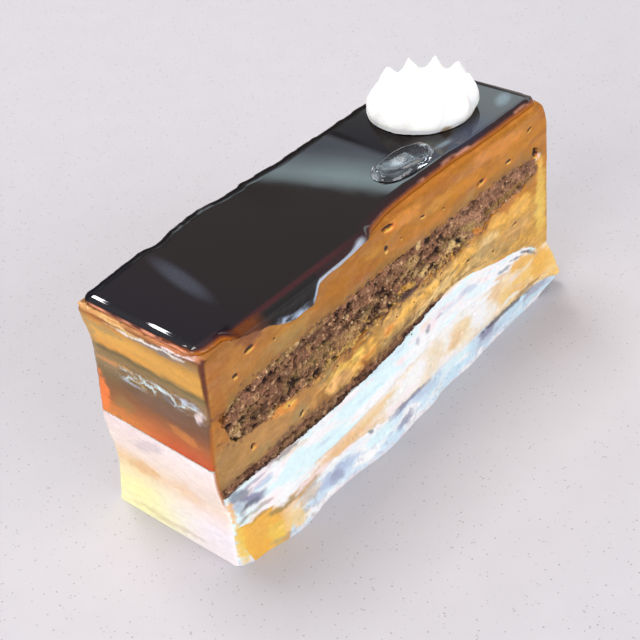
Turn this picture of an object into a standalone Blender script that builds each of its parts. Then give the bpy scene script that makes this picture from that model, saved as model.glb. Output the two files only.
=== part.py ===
"""A slice of layered opera cake, cut on all sides.

Caramel mousse surrounds a cocoa sponge and stands on a thin second sponge. Under it lie two
layers of cream with a caramel ripple between them. A dark mirror glaze covers the top and runs
over one long face. On the glaze sit a piped cream rosette and a drop of clear gel.

Units are metres. +X runs along the slice towards the rosette, -Y is the long face with the
glaze run, and +Z is up. The origin is the middle of the underside. Each layer is drawn as an
outline in X and Z, lofted through the slice along Y, and then sagged by one shared rule, so
that neighbouring layers keep their gap.
"""

import math

import bmesh
import bpy

# The whole slice
LENGTH = 0.100
WIDTH = 0.0302
HEIGHT = 0.0495
GAP = 0.0003
HALF_LENGTH = LENGTH / 2
HALF_WIDTH = WIDTH / 2
CORNER_RADIUS = 0.0012

# The glaze
GLAZE_THICKNESS = 0.0010
GLAZE_NEAR = -0.0498
GLAZE_FAR = 0.0486
GLAZE_CORNER = 0.0030
GLAZE_EDGE_RADIUS = 0.0020
GLAZE_EDGE_DROP = 0.0007
GLAZE_SKIRT = 0.0005
GLAZE_UNDER = HEIGHT - GLAZE_THICKNESS
# Where the glaze ends on the two long sides, as (x, y)
GLAZE_FRONT = ((-0.0498, -0.0138), (-0.0440, -0.0137), (-0.0415, -0.0159), (-0.0300, -0.0161),
               (-0.0080, -0.0159), (-0.0045, -0.0142), (0.0060, -0.0129), (0.0180, -0.0128),
               (0.0300, -0.0135), (0.0486, -0.0137))
GLAZE_BACK = ((-0.0498, 0.0153), (-0.0390, 0.0159), (-0.0350, 0.0163), (-0.0300, 0.0156),
              (-0.0260, 0.0166), (-0.0180, 0.0170), (-0.0140, 0.0163), (-0.0085, 0.0159),
              (-0.0070, 0.0164), (-0.0040, 0.0160), (0.0050, 0.0154), (0.0486, 0.0150))
# How far the glaze has run down the front face, as (x, drop)
GLAZE_RUN = ((-0.0415, 0.0), (-0.0395, 0.0008), (-0.0350, 0.0022), (-0.0310, 0.0039),
             (-0.0280, 0.0047), (-0.0236, 0.0047), (-0.0224, 0.0030), (-0.0212, 0.0012),
             (-0.0140, 0.0007), (-0.0080, 0.0))
GLAZE_STATIONS = (-0.0455, -0.0440, -0.0428, -0.0415, -0.0395, -0.0370, -0.0350, -0.0325,
                  -0.0300, -0.0280, -0.0255, -0.0236, -0.0224, -0.0212, -0.0180, -0.0140,
                  -0.0110, -0.0080, -0.0062, -0.0040, 0.0, 0.0060, 0.0120, 0.0180, 0.0240,
                  0.0300, 0.0360, 0.0420, 0.0454)
EDGE_STEPS = (0.0, 0.00025, 0.0008, 0.0016, 0.0026)
GLAZE_MIDDLE = (0.3, 0.5, 0.7)
# Small slopes that keep the sides of the glaze from standing plumb
GLAZE_LEAN = 0.0001

# Heights of the layers along the slice, as (x, z)
CREAM_TOP = ((-0.0484, 0.0170), (-0.0250, 0.0168), (-0.0080, 0.0179), (0.0020, 0.0192),
             (0.0100, 0.0210), (0.0180, 0.0224), (0.0240, 0.0214), (0.0300, 0.0198),
             (0.0380, 0.0180), (0.0430, 0.0164), (0.0460, 0.0148))
RIPPLE_TOP = ((-0.0484, 0.0083), (-0.0400, 0.0082), (-0.0300, 0.0086), (-0.0200, 0.0096),
              (-0.0100, 0.0108), (0.0, 0.0120), (0.0120, 0.0136), (0.0300, 0.0140),
              (0.0400, 0.0134), (0.0460, 0.0134))
RIPPLE_BOTTOM = ((-0.0390, 0.0), (-0.0365, 0.0030), (-0.0330, 0.0057), (-0.0280, 0.0066),
                 (-0.0150, 0.0069), (-0.0050, 0.0060), (0.0050, 0.0056), (0.0150, 0.0061),
                 (0.0250, 0.0058), (0.0350, 0.0051), (0.0430, 0.0049))
INSERT_TOP = ((-0.0482, 0.0352), (-0.0440, 0.0362), (-0.0350, 0.0377), (-0.0200, 0.0382),
              (-0.0050, 0.0387), (0.0150, 0.0384), (0.0300, 0.0385), (0.0410, 0.0379),
              (0.0463, 0.0369))
INSERT_BOTTOM = ((-0.0482, 0.0300), (-0.0450, 0.0275), (-0.0300, 0.0272), (-0.0150, 0.0280),
                 (0.0, 0.0290), (0.0150, 0.0294), (0.0270, 0.0298), (0.0310, 0.0318),
                 (0.0410, 0.0326), (0.0463, 0.0334))
BASE_THICKNESS = ((-0.0484, 0.0021), (-0.0250, 0.0023), (0.0, 0.0018), (0.0080, 0.0013),
                  (0.0140, 0.0005))
BASE_FAR = 0.0140
# The round far tip of the upper cream
NOSE_TIP = 0.0460
NOSE_LENGTH = 0.0045
NOSE_HEIGHT = 0.0141
NOSE_ANGLES = (30, 55, 75)
# The lip of upper cream that covers the foot of the near face, and the stretch that the layers share
LIP_HEIGHT = 0.0243
LIP_THICKNESS = 0.0007
LIP_ROUND = 0.0004
SEAM_NEAR = -HALF_LENGTH + 2 * LIP_THICKNESS
LAYERS_NEAR = -0.0450
LAYERS_FAR = NOSE_TIP - NOSE_LENGTH
# The ends of the layers that reach the floor, as (x, z), and where the lower cream rises from it
SLAB_INNER = ((-0.0469, 0.0), (-0.0483, 0.0040), (-0.0492, 0.0087))
RIPPLE_HEEL = ((-0.0425, 0.0), (-0.0466, 0.0), (-0.0480, 0.0040), (-0.0489, 0.0083))
RIPPLE_LIP_HEIGHT = 0.0028
RIPPLE_LIP = ((0.0493, 0.0031), (0.0485, 0.0039), (0.0465, 0.0047))
CREAM_TOE = ((0.0463, 0.0043), (0.0480, 0.0037), (0.0488, 0.0029), (0.0486, 0.0018),
             (0.0477, 0.0008))
CREAM_HEEL = (-0.0376, -0.0365, -0.0345)
CREAM_FLOOR = (-0.0386, 0.0464)
CREAM_NEAR = -0.0320
CREAM_FAR = 0.0430
# The edges of the mousse and of the sponge inside it
FAR_EDGE = 0.0008
# The mousse stands up beyond the far end of the glaze as a low, round rim
RIM_ROUND = 0.0011
RIM_SHOULDER = 0.0022
RIM_DROP = 0.0008
NEAR_TOP_RADIUS = 0.0006
INSERT_NEAR = -0.0440
INSERT_FAR = 0.0430
INSERT_ROUND = 0.0010

# Sag: how far each long face stands out at the bottom, as (x, distance), and how it fades
FRONT_SAG = ((-0.0500, 0.0002), (-0.0470, 0.0014), (-0.0430, 0.0018), (-0.0390, 0.0028),
             (-0.0345, 0.0033), (-0.0310, 0.0028), (-0.0250, 0.0020), (-0.0180, 0.0022),
             (-0.0095, 0.0030), (-0.0045, 0.0027), (0.0010, 0.0020), (0.0065, 0.0018),
             (0.0120, 0.0008), (0.0200, 0.0008), (0.0270, 0.0002), (0.0345, -0.0003),
             (0.0440, -0.0007), (0.0500, -0.0009))
BACK_SAG = ((-0.0500, 0.0018), (-0.0300, 0.0024), (0.0, 0.0019), (0.0250, 0.0023),
            (0.0500, 0.0004))
SAG_HEIGHT = 0.0175
SAG_POWER = 1.4
END_FADE = 0.0120
# Shifts of the near face along X, as (z, shift): the whole face, and its skew across Y
NEAR_SHIFT = ((0.0, 0.0), (0.0100, 0.0003), (0.0225, -0.0012), (0.0380, -0.0001),
              (0.0480, -0.0007))
NEAR_SKEW = ((0.0, 0.0), (0.0150, 0.0003), (0.0400, 0.0003), (0.0480, -0.0004))
FAR_SKEW = 0.0022
FAR_SHIFT = 0.0013
# The caramel lip that flares from the foot of the far face, as (z, share of the flare)
FLARE = 0.0047
FLARE_MIDDLE = 0.72
FLARE_ACROSS = 0.28
FLARE_OUT = 0.0013
FLARE_START = 0.0440
FLARE_SHARE = ((0.0, 0.2), (0.0028, 1.0), (0.0050, 0.84), (0.0085, 0.54), (0.0110, 0.28),
               (0.0145, 0.0))

# The rosette
ROSETTE_CENTRE = (0.0332, 0.0036)
ROSETTE_LEAN = (0.0012, -0.0012)
ROSETTE_FLUTES = 10
ROSETTE_STEPS = 6
ROSETTE_FIRST_CREST = math.radians(21)
ROSETTE_TWIST = math.radians(16)
# Rings from the foot to the middle: radius, height, flute depth, flute height
ROSETTE_RINGS = ((0.0106, 0.0, 0.0008, 0.0), (0.0108, 0.0012, 0.0010, 0.0),
                 (0.0099, 0.0027, 0.0013, 0.0003), (0.0085, 0.0039, 0.0015, 0.0011),
                 (0.0074, 0.0043, 0.0013, 0.0020), (0.0060, 0.0048, 0.0009, 0.0010),
                 (0.0042, 0.0056, 0.0006, 0.0005), (0.0024, 0.0067, 0.0003, 0.0002),
                 (0.0009, 0.0076, 0.0001, 0.0))
ROSETTE_HEIGHT = 0.0080

# The drop of gel
DROP_CENTRE = (0.0147, -0.0063)
DROP_HALF_AXES = (0.0073, 0.0043)
DROP_STEPS = 28
DROP_SQUEEZE = 0.06
DROP_SQUEEZE_TURN = 0.6
DROP_POINT = 0.05
DROP_POINT_TURN = 0.5
# Rings from the edge to the middle: share of the outline, height
DROP_RINGS = ((0.96, 0.0), (1.0, 0.0003), (0.93, 0.0009), (0.80, 0.0010), (0.55, 0.0006),
              (0.28, 0.0005))
DROP_HEIGHT = 0.0005

# Where the loft is cut: across the slice, and along the layers' sampled stretches
CUTS_ACROSS = tuple(HALF_WIDTH * share for share in
                    (-1, -0.96, -0.88, -0.55, 0, 0.55, 0.88, 0.96, 1))
STATION_STEP = 0.0050


def height_at(knots, x):
    """The height of a smooth curve through (x, height) knots, level beyond its ends."""
    if x <= knots[0][0]:
        return knots[0][1]
    if x >= knots[-1][0]:
        return knots[-1][1]
    i = next(k for k in range(1, len(knots)) if x < knots[k][0])
    (x0, z0), (x1, z1) = knots[i - 1], knots[i]
    span = x1 - x0
    slope0 = slope_at(knots, i - 1)
    slope1 = slope_at(knots, i)
    t = (x - x0) / span
    start = (1 + 2 * t) * (1 - t) ** 2 * z0 + t * (1 - t) ** 2 * span * slope0
    end = t * t * (3 - 2 * t) * z1 + t * t * (t - 1) * span * slope1
    return start + end


def slope_at(knots, i):
    """The slope of the smooth curve at knot i, level at tops and bottoms, so it never overshoots."""
    if i in (0, len(knots) - 1):
        return 0.0
    before = (knots[i][1] - knots[i - 1][1]) / (knots[i][0] - knots[i - 1][0])
    after = (knots[i + 1][1] - knots[i][1]) / (knots[i + 1][0] - knots[i][0])
    if before * after <= 0:
        return 0.0
    return 2 * before * after / (before + after)


def stations(start, end):
    """Evenly spaced places from start to end, both included."""
    count = max(1, round(abs(end - start) / STATION_STEP))
    return [start + (end - start) * i / count for i in range(count + 1)]


def rounded_corner(x, y):
    """Bends the square corner of the plan into an arc of CORNER_RADIUS."""
    over_x = abs(x) - (HALF_LENGTH - CORNER_RADIUS)
    over_y = abs(y) - (HALF_WIDTH - CORNER_RADIUS)
    if over_x <= 0 or over_y <= 0:
        return x, y
    pull = max(over_x, over_y) / math.hypot(over_x, over_y)
    x = math.copysign(HALF_LENGTH - CORNER_RADIUS + over_x * pull, x)
    y = math.copysign(HALF_WIDTH - CORNER_RADIUS + over_y * pull, y)
    return x, y


def far_shift(x, side):
    """How far the skew of the far face moves a point along X; side is -1 in front and 1 behind."""
    fade = max(0.0, 1 - (HALF_LENGTH - x) / END_FADE)
    return fade * (FAR_SHIFT - FAR_SKEW * (1 + side) / 2)


def sagged(x, y, z):
    """Moves a point of the square-cut slice to where it lies in the soft one."""
    x, y = rounded_corner(x, y)
    side = y / HALF_WIDTH
    near = max(0.0, 1 - (x + HALF_LENGTH) / END_FADE)
    flare = max(0.0, (x - FLARE_START) / (HALF_LENGTH - FLARE_START)) ** 2
    low = max(0.0, 1 - z / SAG_HEIGHT) ** SAG_POWER
    y += side * low * height_at(FRONT_SAG if y < 0 else BACK_SAG, x)
    x += near * (height_at(NEAR_SHIFT, z) + side * height_at(NEAR_SKEW, z))
    x += far_shift(x, side)
    flare *= height_at(FLARE_SHARE, z)
    x += flare * FLARE * (FLARE_MIDDLE - FLARE_ACROSS * side)
    y += flare * FLARE_OUT * side
    return x, y, z


def material(name, colour, roughness):
    """A Principled material of one colour."""
    made = bpy.data.materials.new(name)
    made.use_nodes = True
    shader = made.node_tree.nodes["Principled BSDF"]
    shader.inputs["Base Color"].default_value = (*colour, 1)
    shader.inputs["Roughness"].default_value = roughness
    shader.inputs["Metallic"].default_value = 0.0
    return made


def finished(bm, name, finish):
    """Turns a bmesh into a named object with its material and faces pointing out."""
    bmesh.ops.recalc_face_normals(bm, faces=bm.faces)
    mesh = bpy.data.meshes.new(name)
    bm.to_mesh(mesh)
    bm.free()
    mesh.materials.append(finish)
    made = bpy.data.objects.new(name, mesh)
    bpy.context.scene.collection.objects.link(made)
    mesh.shade_smooth()
    mesh.set_sharp_from_angle(angle=math.radians(40))
    return made


def loft_across(bm, outline):
    """Lofts an outline in X and Z through the slice, and returns the rings of vertices."""
    rings = [[bm.verts.new(sagged(x, cut, z)) for x, z in outline] for cut in CUTS_ACROSS]
    for first, second in zip(rings, rings[1:]):
        bridge(bm, first, second)
    return rings


def bridge(bm, first, second):
    """Joins two closed rings of equal length with quads."""
    count = len(first)
    for i in range(count):
        j = (i + 1) % count
        bm.faces.new((first[i], first[j], second[j], second[i]))


def layer(name, outline, finish):
    """A layer without a hole, lofted through the slice and closed at both cut faces."""
    bm = bmesh.new()
    rings = loft_across(bm, outline)
    for ring in (rings[0], rings[-1]):
        bm.faces.new(ring)
    return finished(bm, name, finish)


def layer_round(name, outline, hole, finish):
    """A layer with a passage of the given outline running through it along Y."""
    bm = bmesh.new()
    outer = loft_across(bm, outline)
    inner = loft_across(bm, hole)
    for k in (0, -1):
        edges = [bm.edges.get((ring[i - 1], ring[i])) for ring in (outer[k], inner[k])
                 for i in range(len(ring))]
        bmesh.ops.triangle_fill(bm, edges=edges, use_beauty=True)
    return finished(bm, name, finish)


def nose(x, height):
    """Closes the upper cream to its round far tip: the height at x drawn towards the nose."""
    t = max(0.0, (x - NOSE_TIP + NOSE_LENGTH) / NOSE_LENGTH)
    return NOSE_HEIGHT + (height - NOSE_HEIGHT) * math.sqrt(max(0.0, 1 - min(t, 1.0) ** 2))


def cream_top(x):
    return nose(x, height_at(CREAM_TOP, x))


def ripple_top(x):
    return nose(x, height_at(RIPPLE_TOP, x) + GAP) - GAP


def base_top(x):
    return cream_top(x) + GAP + height_at(BASE_THICKNESS, x)


def nose_stations():
    """Places along the round tip, closer together towards its end."""
    return [NOSE_TIP - NOSE_LENGTH * (1 - math.sin(math.radians(a))) for a in NOSE_ANGLES]


def layer_stations():
    """Places along the stretch that the ripple and the upper cream share."""
    return stations(LAYERS_NEAR, LAYERS_FAR) + nose_stations()


def seam_stations():
    """Places from the near lip to the tip of the cream, for every curve that follows its top."""
    return stations(SEAM_NEAR, LAYERS_FAR) + nose_stations()


def lower_cream_outline():
    top = [(x, height_at(RIPPLE_BOTTOM, x) - GAP) for x in
           [*CREAM_HEEL, *stations(CREAM_NEAR, CREAM_FAR)]]
    floor = [(x, 0.0) for x in stations(CREAM_FLOOR[1], CREAM_FLOOR[0])]
    return [*top, *CREAM_TOE, *floor]


def ripple_outline():
    top = [(x, ripple_top(x)) for x in layer_stations()]
    wall_top = NOSE_HEIGHT - GAP / 2
    far = far_ledge(wall_top)
    wall = [(HALF_LENGTH, wall_top + (RIPPLE_LIP_HEIGHT - wall_top) * i / 5) for i in range(6)]
    under = [(x, height_at(RIPPLE_BOTTOM, x)) for x in
             [*stations(CREAM_FAR, CREAM_NEAR), *reversed(CREAM_HEEL), RIPPLE_BOTTOM[0][0]]]
    return [*RIPPLE_HEEL, *top, *far, *wall, *RIPPLE_LIP, *under]


def upper_cream_outline():
    lip_inner = -HALF_LENGTH + LIP_THICKNESS
    foot = [(-HALF_LENGTH, 0.0), (-HALF_LENGTH + CORNER_RADIUS, 0.0)]
    under = [(x, ripple_top(x) + GAP) for x in layer_stations()]
    tip = [(NOSE_TIP, NOSE_HEIGHT)]
    top = [(x, cream_top(x)) for x in reversed(seam_stations()[1:])]
    corner = [(lip_inner + LIP_ROUND, CREAM_TOP[0][1])]
    lip = [(lip_inner, LIP_HEIGHT), (-HALF_LENGTH, LIP_HEIGHT)]
    face = [(-HALF_LENGTH, LIP_HEIGHT * i / 5) for i in (4, 3, 2, 1)]
    return [*foot, *SLAB_INNER, *under, *tip, *top, *corner, *lip, *face]


def base_sponge_outline():
    places = [x for x in seam_stations() if x < BASE_FAR] + [BASE_FAR]
    under = [(x, cream_top(x) + GAP) for x in places]
    over = [(x, base_top(x)) for x in reversed(places)]
    return under + over


def far_ledge(height):
    """The level stretch from the tip of the cream to the far face, where two layers meet."""
    return [(NOSE_TIP + GAP, height), (HALF_LENGTH - CORNER_RADIUS, height),
            (HALF_LENGTH - FAR_EDGE, height)]


def mousse_outline():
    lip_clear = -HALF_LENGTH + LIP_THICKNESS + GAP
    near = [(-HALF_LENGTH, LIP_HEIGHT + GAP), (lip_clear, LIP_HEIGHT + GAP)]
    places = seam_stations()
    under = [(x, base_top(x) + GAP) for x in places if x < BASE_FAR]
    under += [(BASE_FAR + GAP, base_top(BASE_FAR) + GAP)]
    under += [(x, cream_top(x) + GAP) for x in [BASE_FAR + 2 * GAP] + places if x > BASE_FAR]
    floor = NOSE_HEIGHT + GAP / 2
    far = far_ledge(floor)
    top = GLAZE_UNDER - GAP
    rim = HEIGHT - RIM_DROP
    wall = [(HALF_LENGTH, floor + (rim - RIM_SHOULDER - floor) * i / 6) for i in range(7)]
    far_arc = [(HALF_LENGTH - RIM_ROUND * (1 - math.cos(a)), rim - RIM_SHOULDER * (1 - math.sin(a)))
               for a in (math.radians(30), math.radians(60), math.radians(90))]
    over = [(GLAZE_FAR + GAP, top)] + [(x, top) for x in stations(LAYERS_FAR, LAYERS_NEAR)[::2]]
    near_top = [(-HALF_LENGTH + NEAR_TOP_RADIUS, top), (-HALF_LENGTH, top - NEAR_TOP_RADIUS)]
    rise = top - NEAR_TOP_RADIUS - LIP_HEIGHT
    face = [(-HALF_LENGTH, top - NEAR_TOP_RADIUS - rise * i / 5) for i in range(1, 5)]
    return [*near, *under, *far, *wall, *far_arc, *over, *near_top, *face]


def insert_outline(clearance):
    """The cocoa sponge's outline, or with a clearance the passage that it fills."""
    (near_end, near_top), (far_end, far_top) = INSERT_TOP[0], INSERT_TOP[-1]
    near_bottom, far_bottom = INSERT_BOTTOM[0][1], INSERT_BOTTOM[-1][1]
    places = [near_end + INSERT_ROUND, *stations(INSERT_NEAR, INSERT_FAR), far_end - INSERT_ROUND]
    top = [(x, height_at(INSERT_TOP, x) + clearance) for x in places]
    bottom = [(x, height_at(INSERT_BOTTOM, x) - clearance) for x in reversed(places)]
    far = [(far_end + clearance, far_top - INSERT_ROUND),
           (far_end + clearance, far_bottom + INSERT_ROUND / 2)]
    near = [(near_end - clearance, near_bottom + INSERT_ROUND / 4),
            (near_end - clearance, near_top - INSERT_ROUND)]
    return [*top, *far, *bottom, *near]


def corner_pull(distance):
    """How far a rounded plan corner draws the edge in, this far from the end of the glaze."""
    inside = GLAZE_CORNER - min(distance, GLAZE_CORNER)
    return GLAZE_CORNER - math.sqrt(GLAZE_CORNER ** 2 - inside ** 2)


def glaze_top(distance):
    """The height of the glaze this far in from its edge, which is rounded over."""
    inside = 1 - min(distance / GLAZE_EDGE_RADIUS, 1)
    return HEIGHT - GLAZE_EDGE_DROP * (1 - math.sqrt(1 - inside ** 2))


def glaze_section(bm, x):
    """One ring of the glaze across the slice at x, from the foot of the run round to the back."""
    from_end = min(x - GLAZE_NEAR, GLAZE_FAR - x)
    front = height_at(GLAZE_FRONT, x) + corner_pull(from_end)
    back = height_at(GLAZE_BACK, x) - corner_pull(from_end)
    foot = GLAZE_UNDER - height_at(GLAZE_RUN, x)
    ring = [(front + GLAZE_SKIRT, foot), (front + GLAZE_LEAN, foot)]
    ring += [(front + step, glaze_top(min(step, from_end))) for step in EDGE_STEPS]
    ring += [(front + (back - front) * share, glaze_top(from_end)) for share in GLAZE_MIDDLE]
    ring += [(back - step, glaze_top(min(step, from_end))) for step in reversed(EDGE_STEPS)]
    ring += [(back - 2 * GLAZE_LEAN, GLAZE_UNDER),
             (front + GLAZE_SKIRT + GLAZE_LEAN / 2, GLAZE_UNDER)]
    return [bm.verts.new((x + far_shift(x, y / HALF_WIDTH), y, z)) for y, z in ring]


def make_glaze(finish):
    bm = bmesh.new()
    places = [GLAZE_NEAR + step for step in EDGE_STEPS] + list(GLAZE_STATIONS)
    places += [GLAZE_FAR - step for step in reversed(EDGE_STEPS)]
    rings = [glaze_section(bm, x) for x in places]
    for first, second in zip(rings, rings[1:]):
        bridge(bm, first, second)
    for ring in (rings[0], rings[-1]):
        bm.faces.new(ring)
    return finished(bm, "glaze", finish)


def ring_solid(name, rings, top, finish):
    """A solid from rings of points, closed by a flat foot and a fan to its top point."""
    bm = bmesh.new()
    made = [[bm.verts.new(point) for point in ring] for ring in rings]
    for first, second in zip(made, made[1:]):
        bridge(bm, first, second)
    bm.faces.new(made[0])
    tip = bm.verts.new(top)
    last = made[-1]
    for i in range(len(last)):
        bm.faces.new((last[i - 1], last[i], tip))
    return finished(bm, name, finish)


def make_rosette(finish):
    """A star-piped rosette: sharp crests climb from a scalloped foot to a crown of tips."""
    foot = HEIGHT + GAP
    count = ROSETTE_FLUTES * ROSETTE_STEPS
    rings = []
    for radius, height, depth, rise in ROSETTE_RINGS:
        climb = height / ROSETTE_HEIGHT
        ring = []
        for i in range(count):
            crest = 1 - abs(math.sin(math.pi * i / ROSETTE_STEPS))
            angle = ROSETTE_FIRST_CREST + math.tau * i / count + ROSETTE_TWIST * (climb - 0.5)
            reach = radius + depth * crest
            ring.append((ROSETTE_CENTRE[0] + ROSETTE_LEAN[0] * climb + reach * math.cos(angle),
                         ROSETTE_CENTRE[1] + ROSETTE_LEAN[1] * climb + reach * math.sin(angle),
                         foot + height + rise * crest))
        rings.append(ring)
    top = (ROSETTE_CENTRE[0] + ROSETTE_LEAN[0], ROSETTE_CENTRE[1] + ROSETTE_LEAN[1],
           foot + ROSETTE_HEIGHT)
    return ring_solid("whipped_cream", rings, top, finish)


def make_drop(finish):
    """A low oval drop with a raised rim, a sunken middle and one end drawn out."""
    foot = HEIGHT + GAP
    rings = []
    for share, height in DROP_RINGS:
        ring = []
        for i in range(DROP_STEPS):
            angle = math.tau * i / DROP_STEPS
            drawn = 1 + DROP_SQUEEZE * math.cos(2 * angle + DROP_SQUEEZE_TURN)
            drawn += DROP_POINT * math.cos(angle - DROP_POINT_TURN)
            ring.append((DROP_CENTRE[0] + DROP_HALF_AXES[0] * share * drawn * math.cos(angle),
                         DROP_CENTRE[1] + DROP_HALF_AXES[1] * share * drawn * math.sin(angle),
                         foot + height))
        rings.append(ring)
    return ring_solid("gel_drop", rings, (*DROP_CENTRE, foot + DROP_HEIGHT), finish)


def clear_scene():
    for old in list(bpy.data.objects):
        bpy.data.objects.remove(old, do_unlink=True)


def main():
    clear_scene()
    caramel = material("caramel_mousse", (0.58, 0.25, 0.05), 0.45)
    cocoa = material("cocoa_sponge", (0.085, 0.040, 0.024), 0.9)
    cream = material("cream", (0.80, 0.78, 0.74), 0.45)
    ripple = material("caramel_ripple", (0.80, 0.44, 0.14), 0.40)
    dark_glaze = material("dark_glaze", (0.016, 0.011, 0.010), 0.06)
    piped = material("whipped_cream", (0.88, 0.87, 0.84), 0.5)
    gel = material("clear_gel", (0.05, 0.045, 0.045), 0.08)

    layer("cream_lower", lower_cream_outline(), cream)
    layer("caramel_ripple", ripple_outline(), ripple)
    layer("cream_upper", upper_cream_outline(), cream)
    layer("base_sponge", base_sponge_outline(), cocoa)
    layer("chocolate_sponge", insert_outline(0.0), cocoa)
    layer_round("caramel_mousse", mousse_outline(), insert_outline(GAP), caramel)
    make_glaze(dark_glaze)
    make_rosette(piped)
    make_drop(gel)


main()
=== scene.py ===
"""The look of a slice of layered opera cake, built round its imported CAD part.

Every layer is rebuilt finer inside the space of its CAD solid: the cut faces get crumb, air
holes, smears and film, and the glaze, the rosette and the gel drop get their real surfaces.
Lengths in this script are millimetres until a mesh is made. +X runs along the slice towards
the rosette, -Y is the long face with the glaze run, and +Z is up.
"""

import itertools
import math

import bpy
import numpy as np
from mathutils import Matrix, Vector
from mathutils.geometry import delaunay_2d_cdt
from mathutils.kdtree import KDTree


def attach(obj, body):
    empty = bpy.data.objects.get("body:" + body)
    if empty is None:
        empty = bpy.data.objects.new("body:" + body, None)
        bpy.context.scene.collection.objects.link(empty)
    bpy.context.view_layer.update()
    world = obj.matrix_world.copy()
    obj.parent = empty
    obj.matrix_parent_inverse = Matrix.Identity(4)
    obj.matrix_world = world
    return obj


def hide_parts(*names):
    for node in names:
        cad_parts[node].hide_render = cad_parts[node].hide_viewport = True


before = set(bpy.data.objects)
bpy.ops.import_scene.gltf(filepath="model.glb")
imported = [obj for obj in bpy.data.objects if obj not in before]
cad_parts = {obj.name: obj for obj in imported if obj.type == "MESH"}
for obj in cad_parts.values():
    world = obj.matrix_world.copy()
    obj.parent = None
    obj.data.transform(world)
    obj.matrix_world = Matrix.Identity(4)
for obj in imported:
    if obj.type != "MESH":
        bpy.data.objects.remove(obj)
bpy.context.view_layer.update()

MM = 0.001

# ---------------------------------------------------------------- the shape rules of the part

HALF_LENGTH = 50.0
HALF_WIDTH = 15.1
HEIGHT = 49.5
HALF_GAP = 0.15
CORNER = 1.2

GLAZE_UNDER = 48.5
GLAZE_NEAR = -49.8
GLAZE_FAR = 48.6
GLAZE_CORNER = 3.0
GLAZE_ROUND = 2.0
GLAZE_DROP = 0.7
GLAZE_FRONT = ((-49.8, -13.8), (-44.0, -13.7), (-41.5, -15.9), (-30.0, -16.1), (-8.0, -15.9),
               (-4.5, -14.2), (6.0, -12.9), (18.0, -12.8), (30.0, -13.5), (48.6, -13.7))
GLAZE_BACK = ((-49.8, 15.3), (-39.0, 15.9), (-35.0, 16.3), (-30.0, 15.6), (-26.0, 16.6),
              (-18.0, 17.0), (-14.0, 16.3), (-8.5, 15.9), (-7.0, 16.4), (-4.0, 16.0),
              (5.0, 15.4), (48.6, 15.0))
GLAZE_RUN = ((-41.5, 0.0), (-39.5, 0.8), (-35.0, 2.2), (-31.0, 3.9), (-28.0, 4.7),
             (-23.6, 4.7), (-22.4, 3.0), (-21.2, 1.2), (-14.0, 0.7), (-8.0, 0.0))

CREAM_TOP = ((-48.4, 17.0), (-25.0, 16.8), (-8.0, 17.9), (2.0, 19.2), (10.0, 21.0),
             (18.0, 22.4), (24.0, 21.4), (30.0, 19.8), (38.0, 18.0), (43.0, 16.4), (46.0, 14.8))
RIPPLE_TOP = ((-48.4, 8.3), (-40.0, 8.2), (-30.0, 8.6), (-20.0, 9.6), (-10.0, 10.8),
              (0.0, 12.0), (12.0, 13.6), (30.0, 14.0), (40.0, 13.4), (46.0, 13.4))
RIPPLE_BOTTOM = ((-39.0, 0.0), (-36.5, 3.0), (-33.0, 5.7), (-28.0, 6.6), (-15.0, 6.9),
                 (-5.0, 6.0), (5.0, 5.6), (15.0, 6.1), (25.0, 5.8), (35.0, 5.1), (43.0, 4.9))
INSERT_TOP = ((-48.2, 35.2), (-44.0, 36.2), (-35.0, 37.7), (-20.0, 38.2), (-5.0, 38.7),
              (15.0, 38.4), (30.0, 38.5), (41.0, 37.9), (46.3, 36.9))
INSERT_BOTTOM = ((-48.2, 30.0), (-45.0, 27.5), (-30.0, 27.2), (-15.0, 28.0), (0.0, 29.0),
                 (15.0, 29.4), (27.0, 29.8), (31.0, 31.8), (41.0, 32.6), (46.3, 33.4))
BASE_THICKNESS = ((-48.4, 2.1), (-25.0, 2.3), (0.0, 1.8), (8.0, 1.3), (14.0, 0.5))
BASE_FAR = 14.15
NOSE_TIP = 46.0
NOSE_LENGTH = 4.5
NOSE_HEIGHT = 14.1
LAYERS_FAR = NOSE_TIP - NOSE_LENGTH
SEAM_NEAR = -48.6
LIP_HEIGHT = 24.45
RIM_TOP = 48.7
RIM_ROUND = 1.1
RIM_SHOULDER = 2.2
OVER = 48.4
INSERT_ENDS = (-48.35, 46.45)

FRONT_SAG = ((-50.0, 0.2), (-47.0, 1.4), (-43.0, 1.8), (-39.0, 2.8), (-34.5, 3.3),
             (-31.0, 2.8), (-25.0, 2.0), (-18.0, 2.2), (-9.5, 3.0), (-4.5, 2.7), (1.0, 2.0),
             (6.5, 1.8), (12.0, 0.8), (20.0, 0.8), (27.0, 0.2), (34.5, -0.3), (44.0, -0.7),
             (50.0, -0.9))
BACK_SAG = ((-50.0, 1.8), (-30.0, 2.4), (0.0, 1.9), (25.0, 2.3), (50.0, 0.4))
SAG_HEIGHT = 17.5
SAG_POWER = 1.4
END_FADE = 12.0
NEAR_SHIFT = ((0.0, 0.0), (10.0, 0.3), (22.5, -1.2), (38.0, -0.1), (48.0, -0.7))
NEAR_SKEW = ((0.0, 0.0), (15.0, 0.3), (40.0, 0.3), (48.0, -0.4))
FAR_SKEW = 2.2
FAR_SHIFT = 1.3
FLARE = 4.7
FLARE_MIDDLE = 0.72
FLARE_ACROSS = 0.28
FLARE_OUT = 1.3
FLARE_START = 44.0
FLARE_SHARE = ((0.0, 0.2), (2.8, 1.0), (5.0, 0.84), (8.5, 0.54), (11.0, 0.28), (14.5, 0.0))

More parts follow.
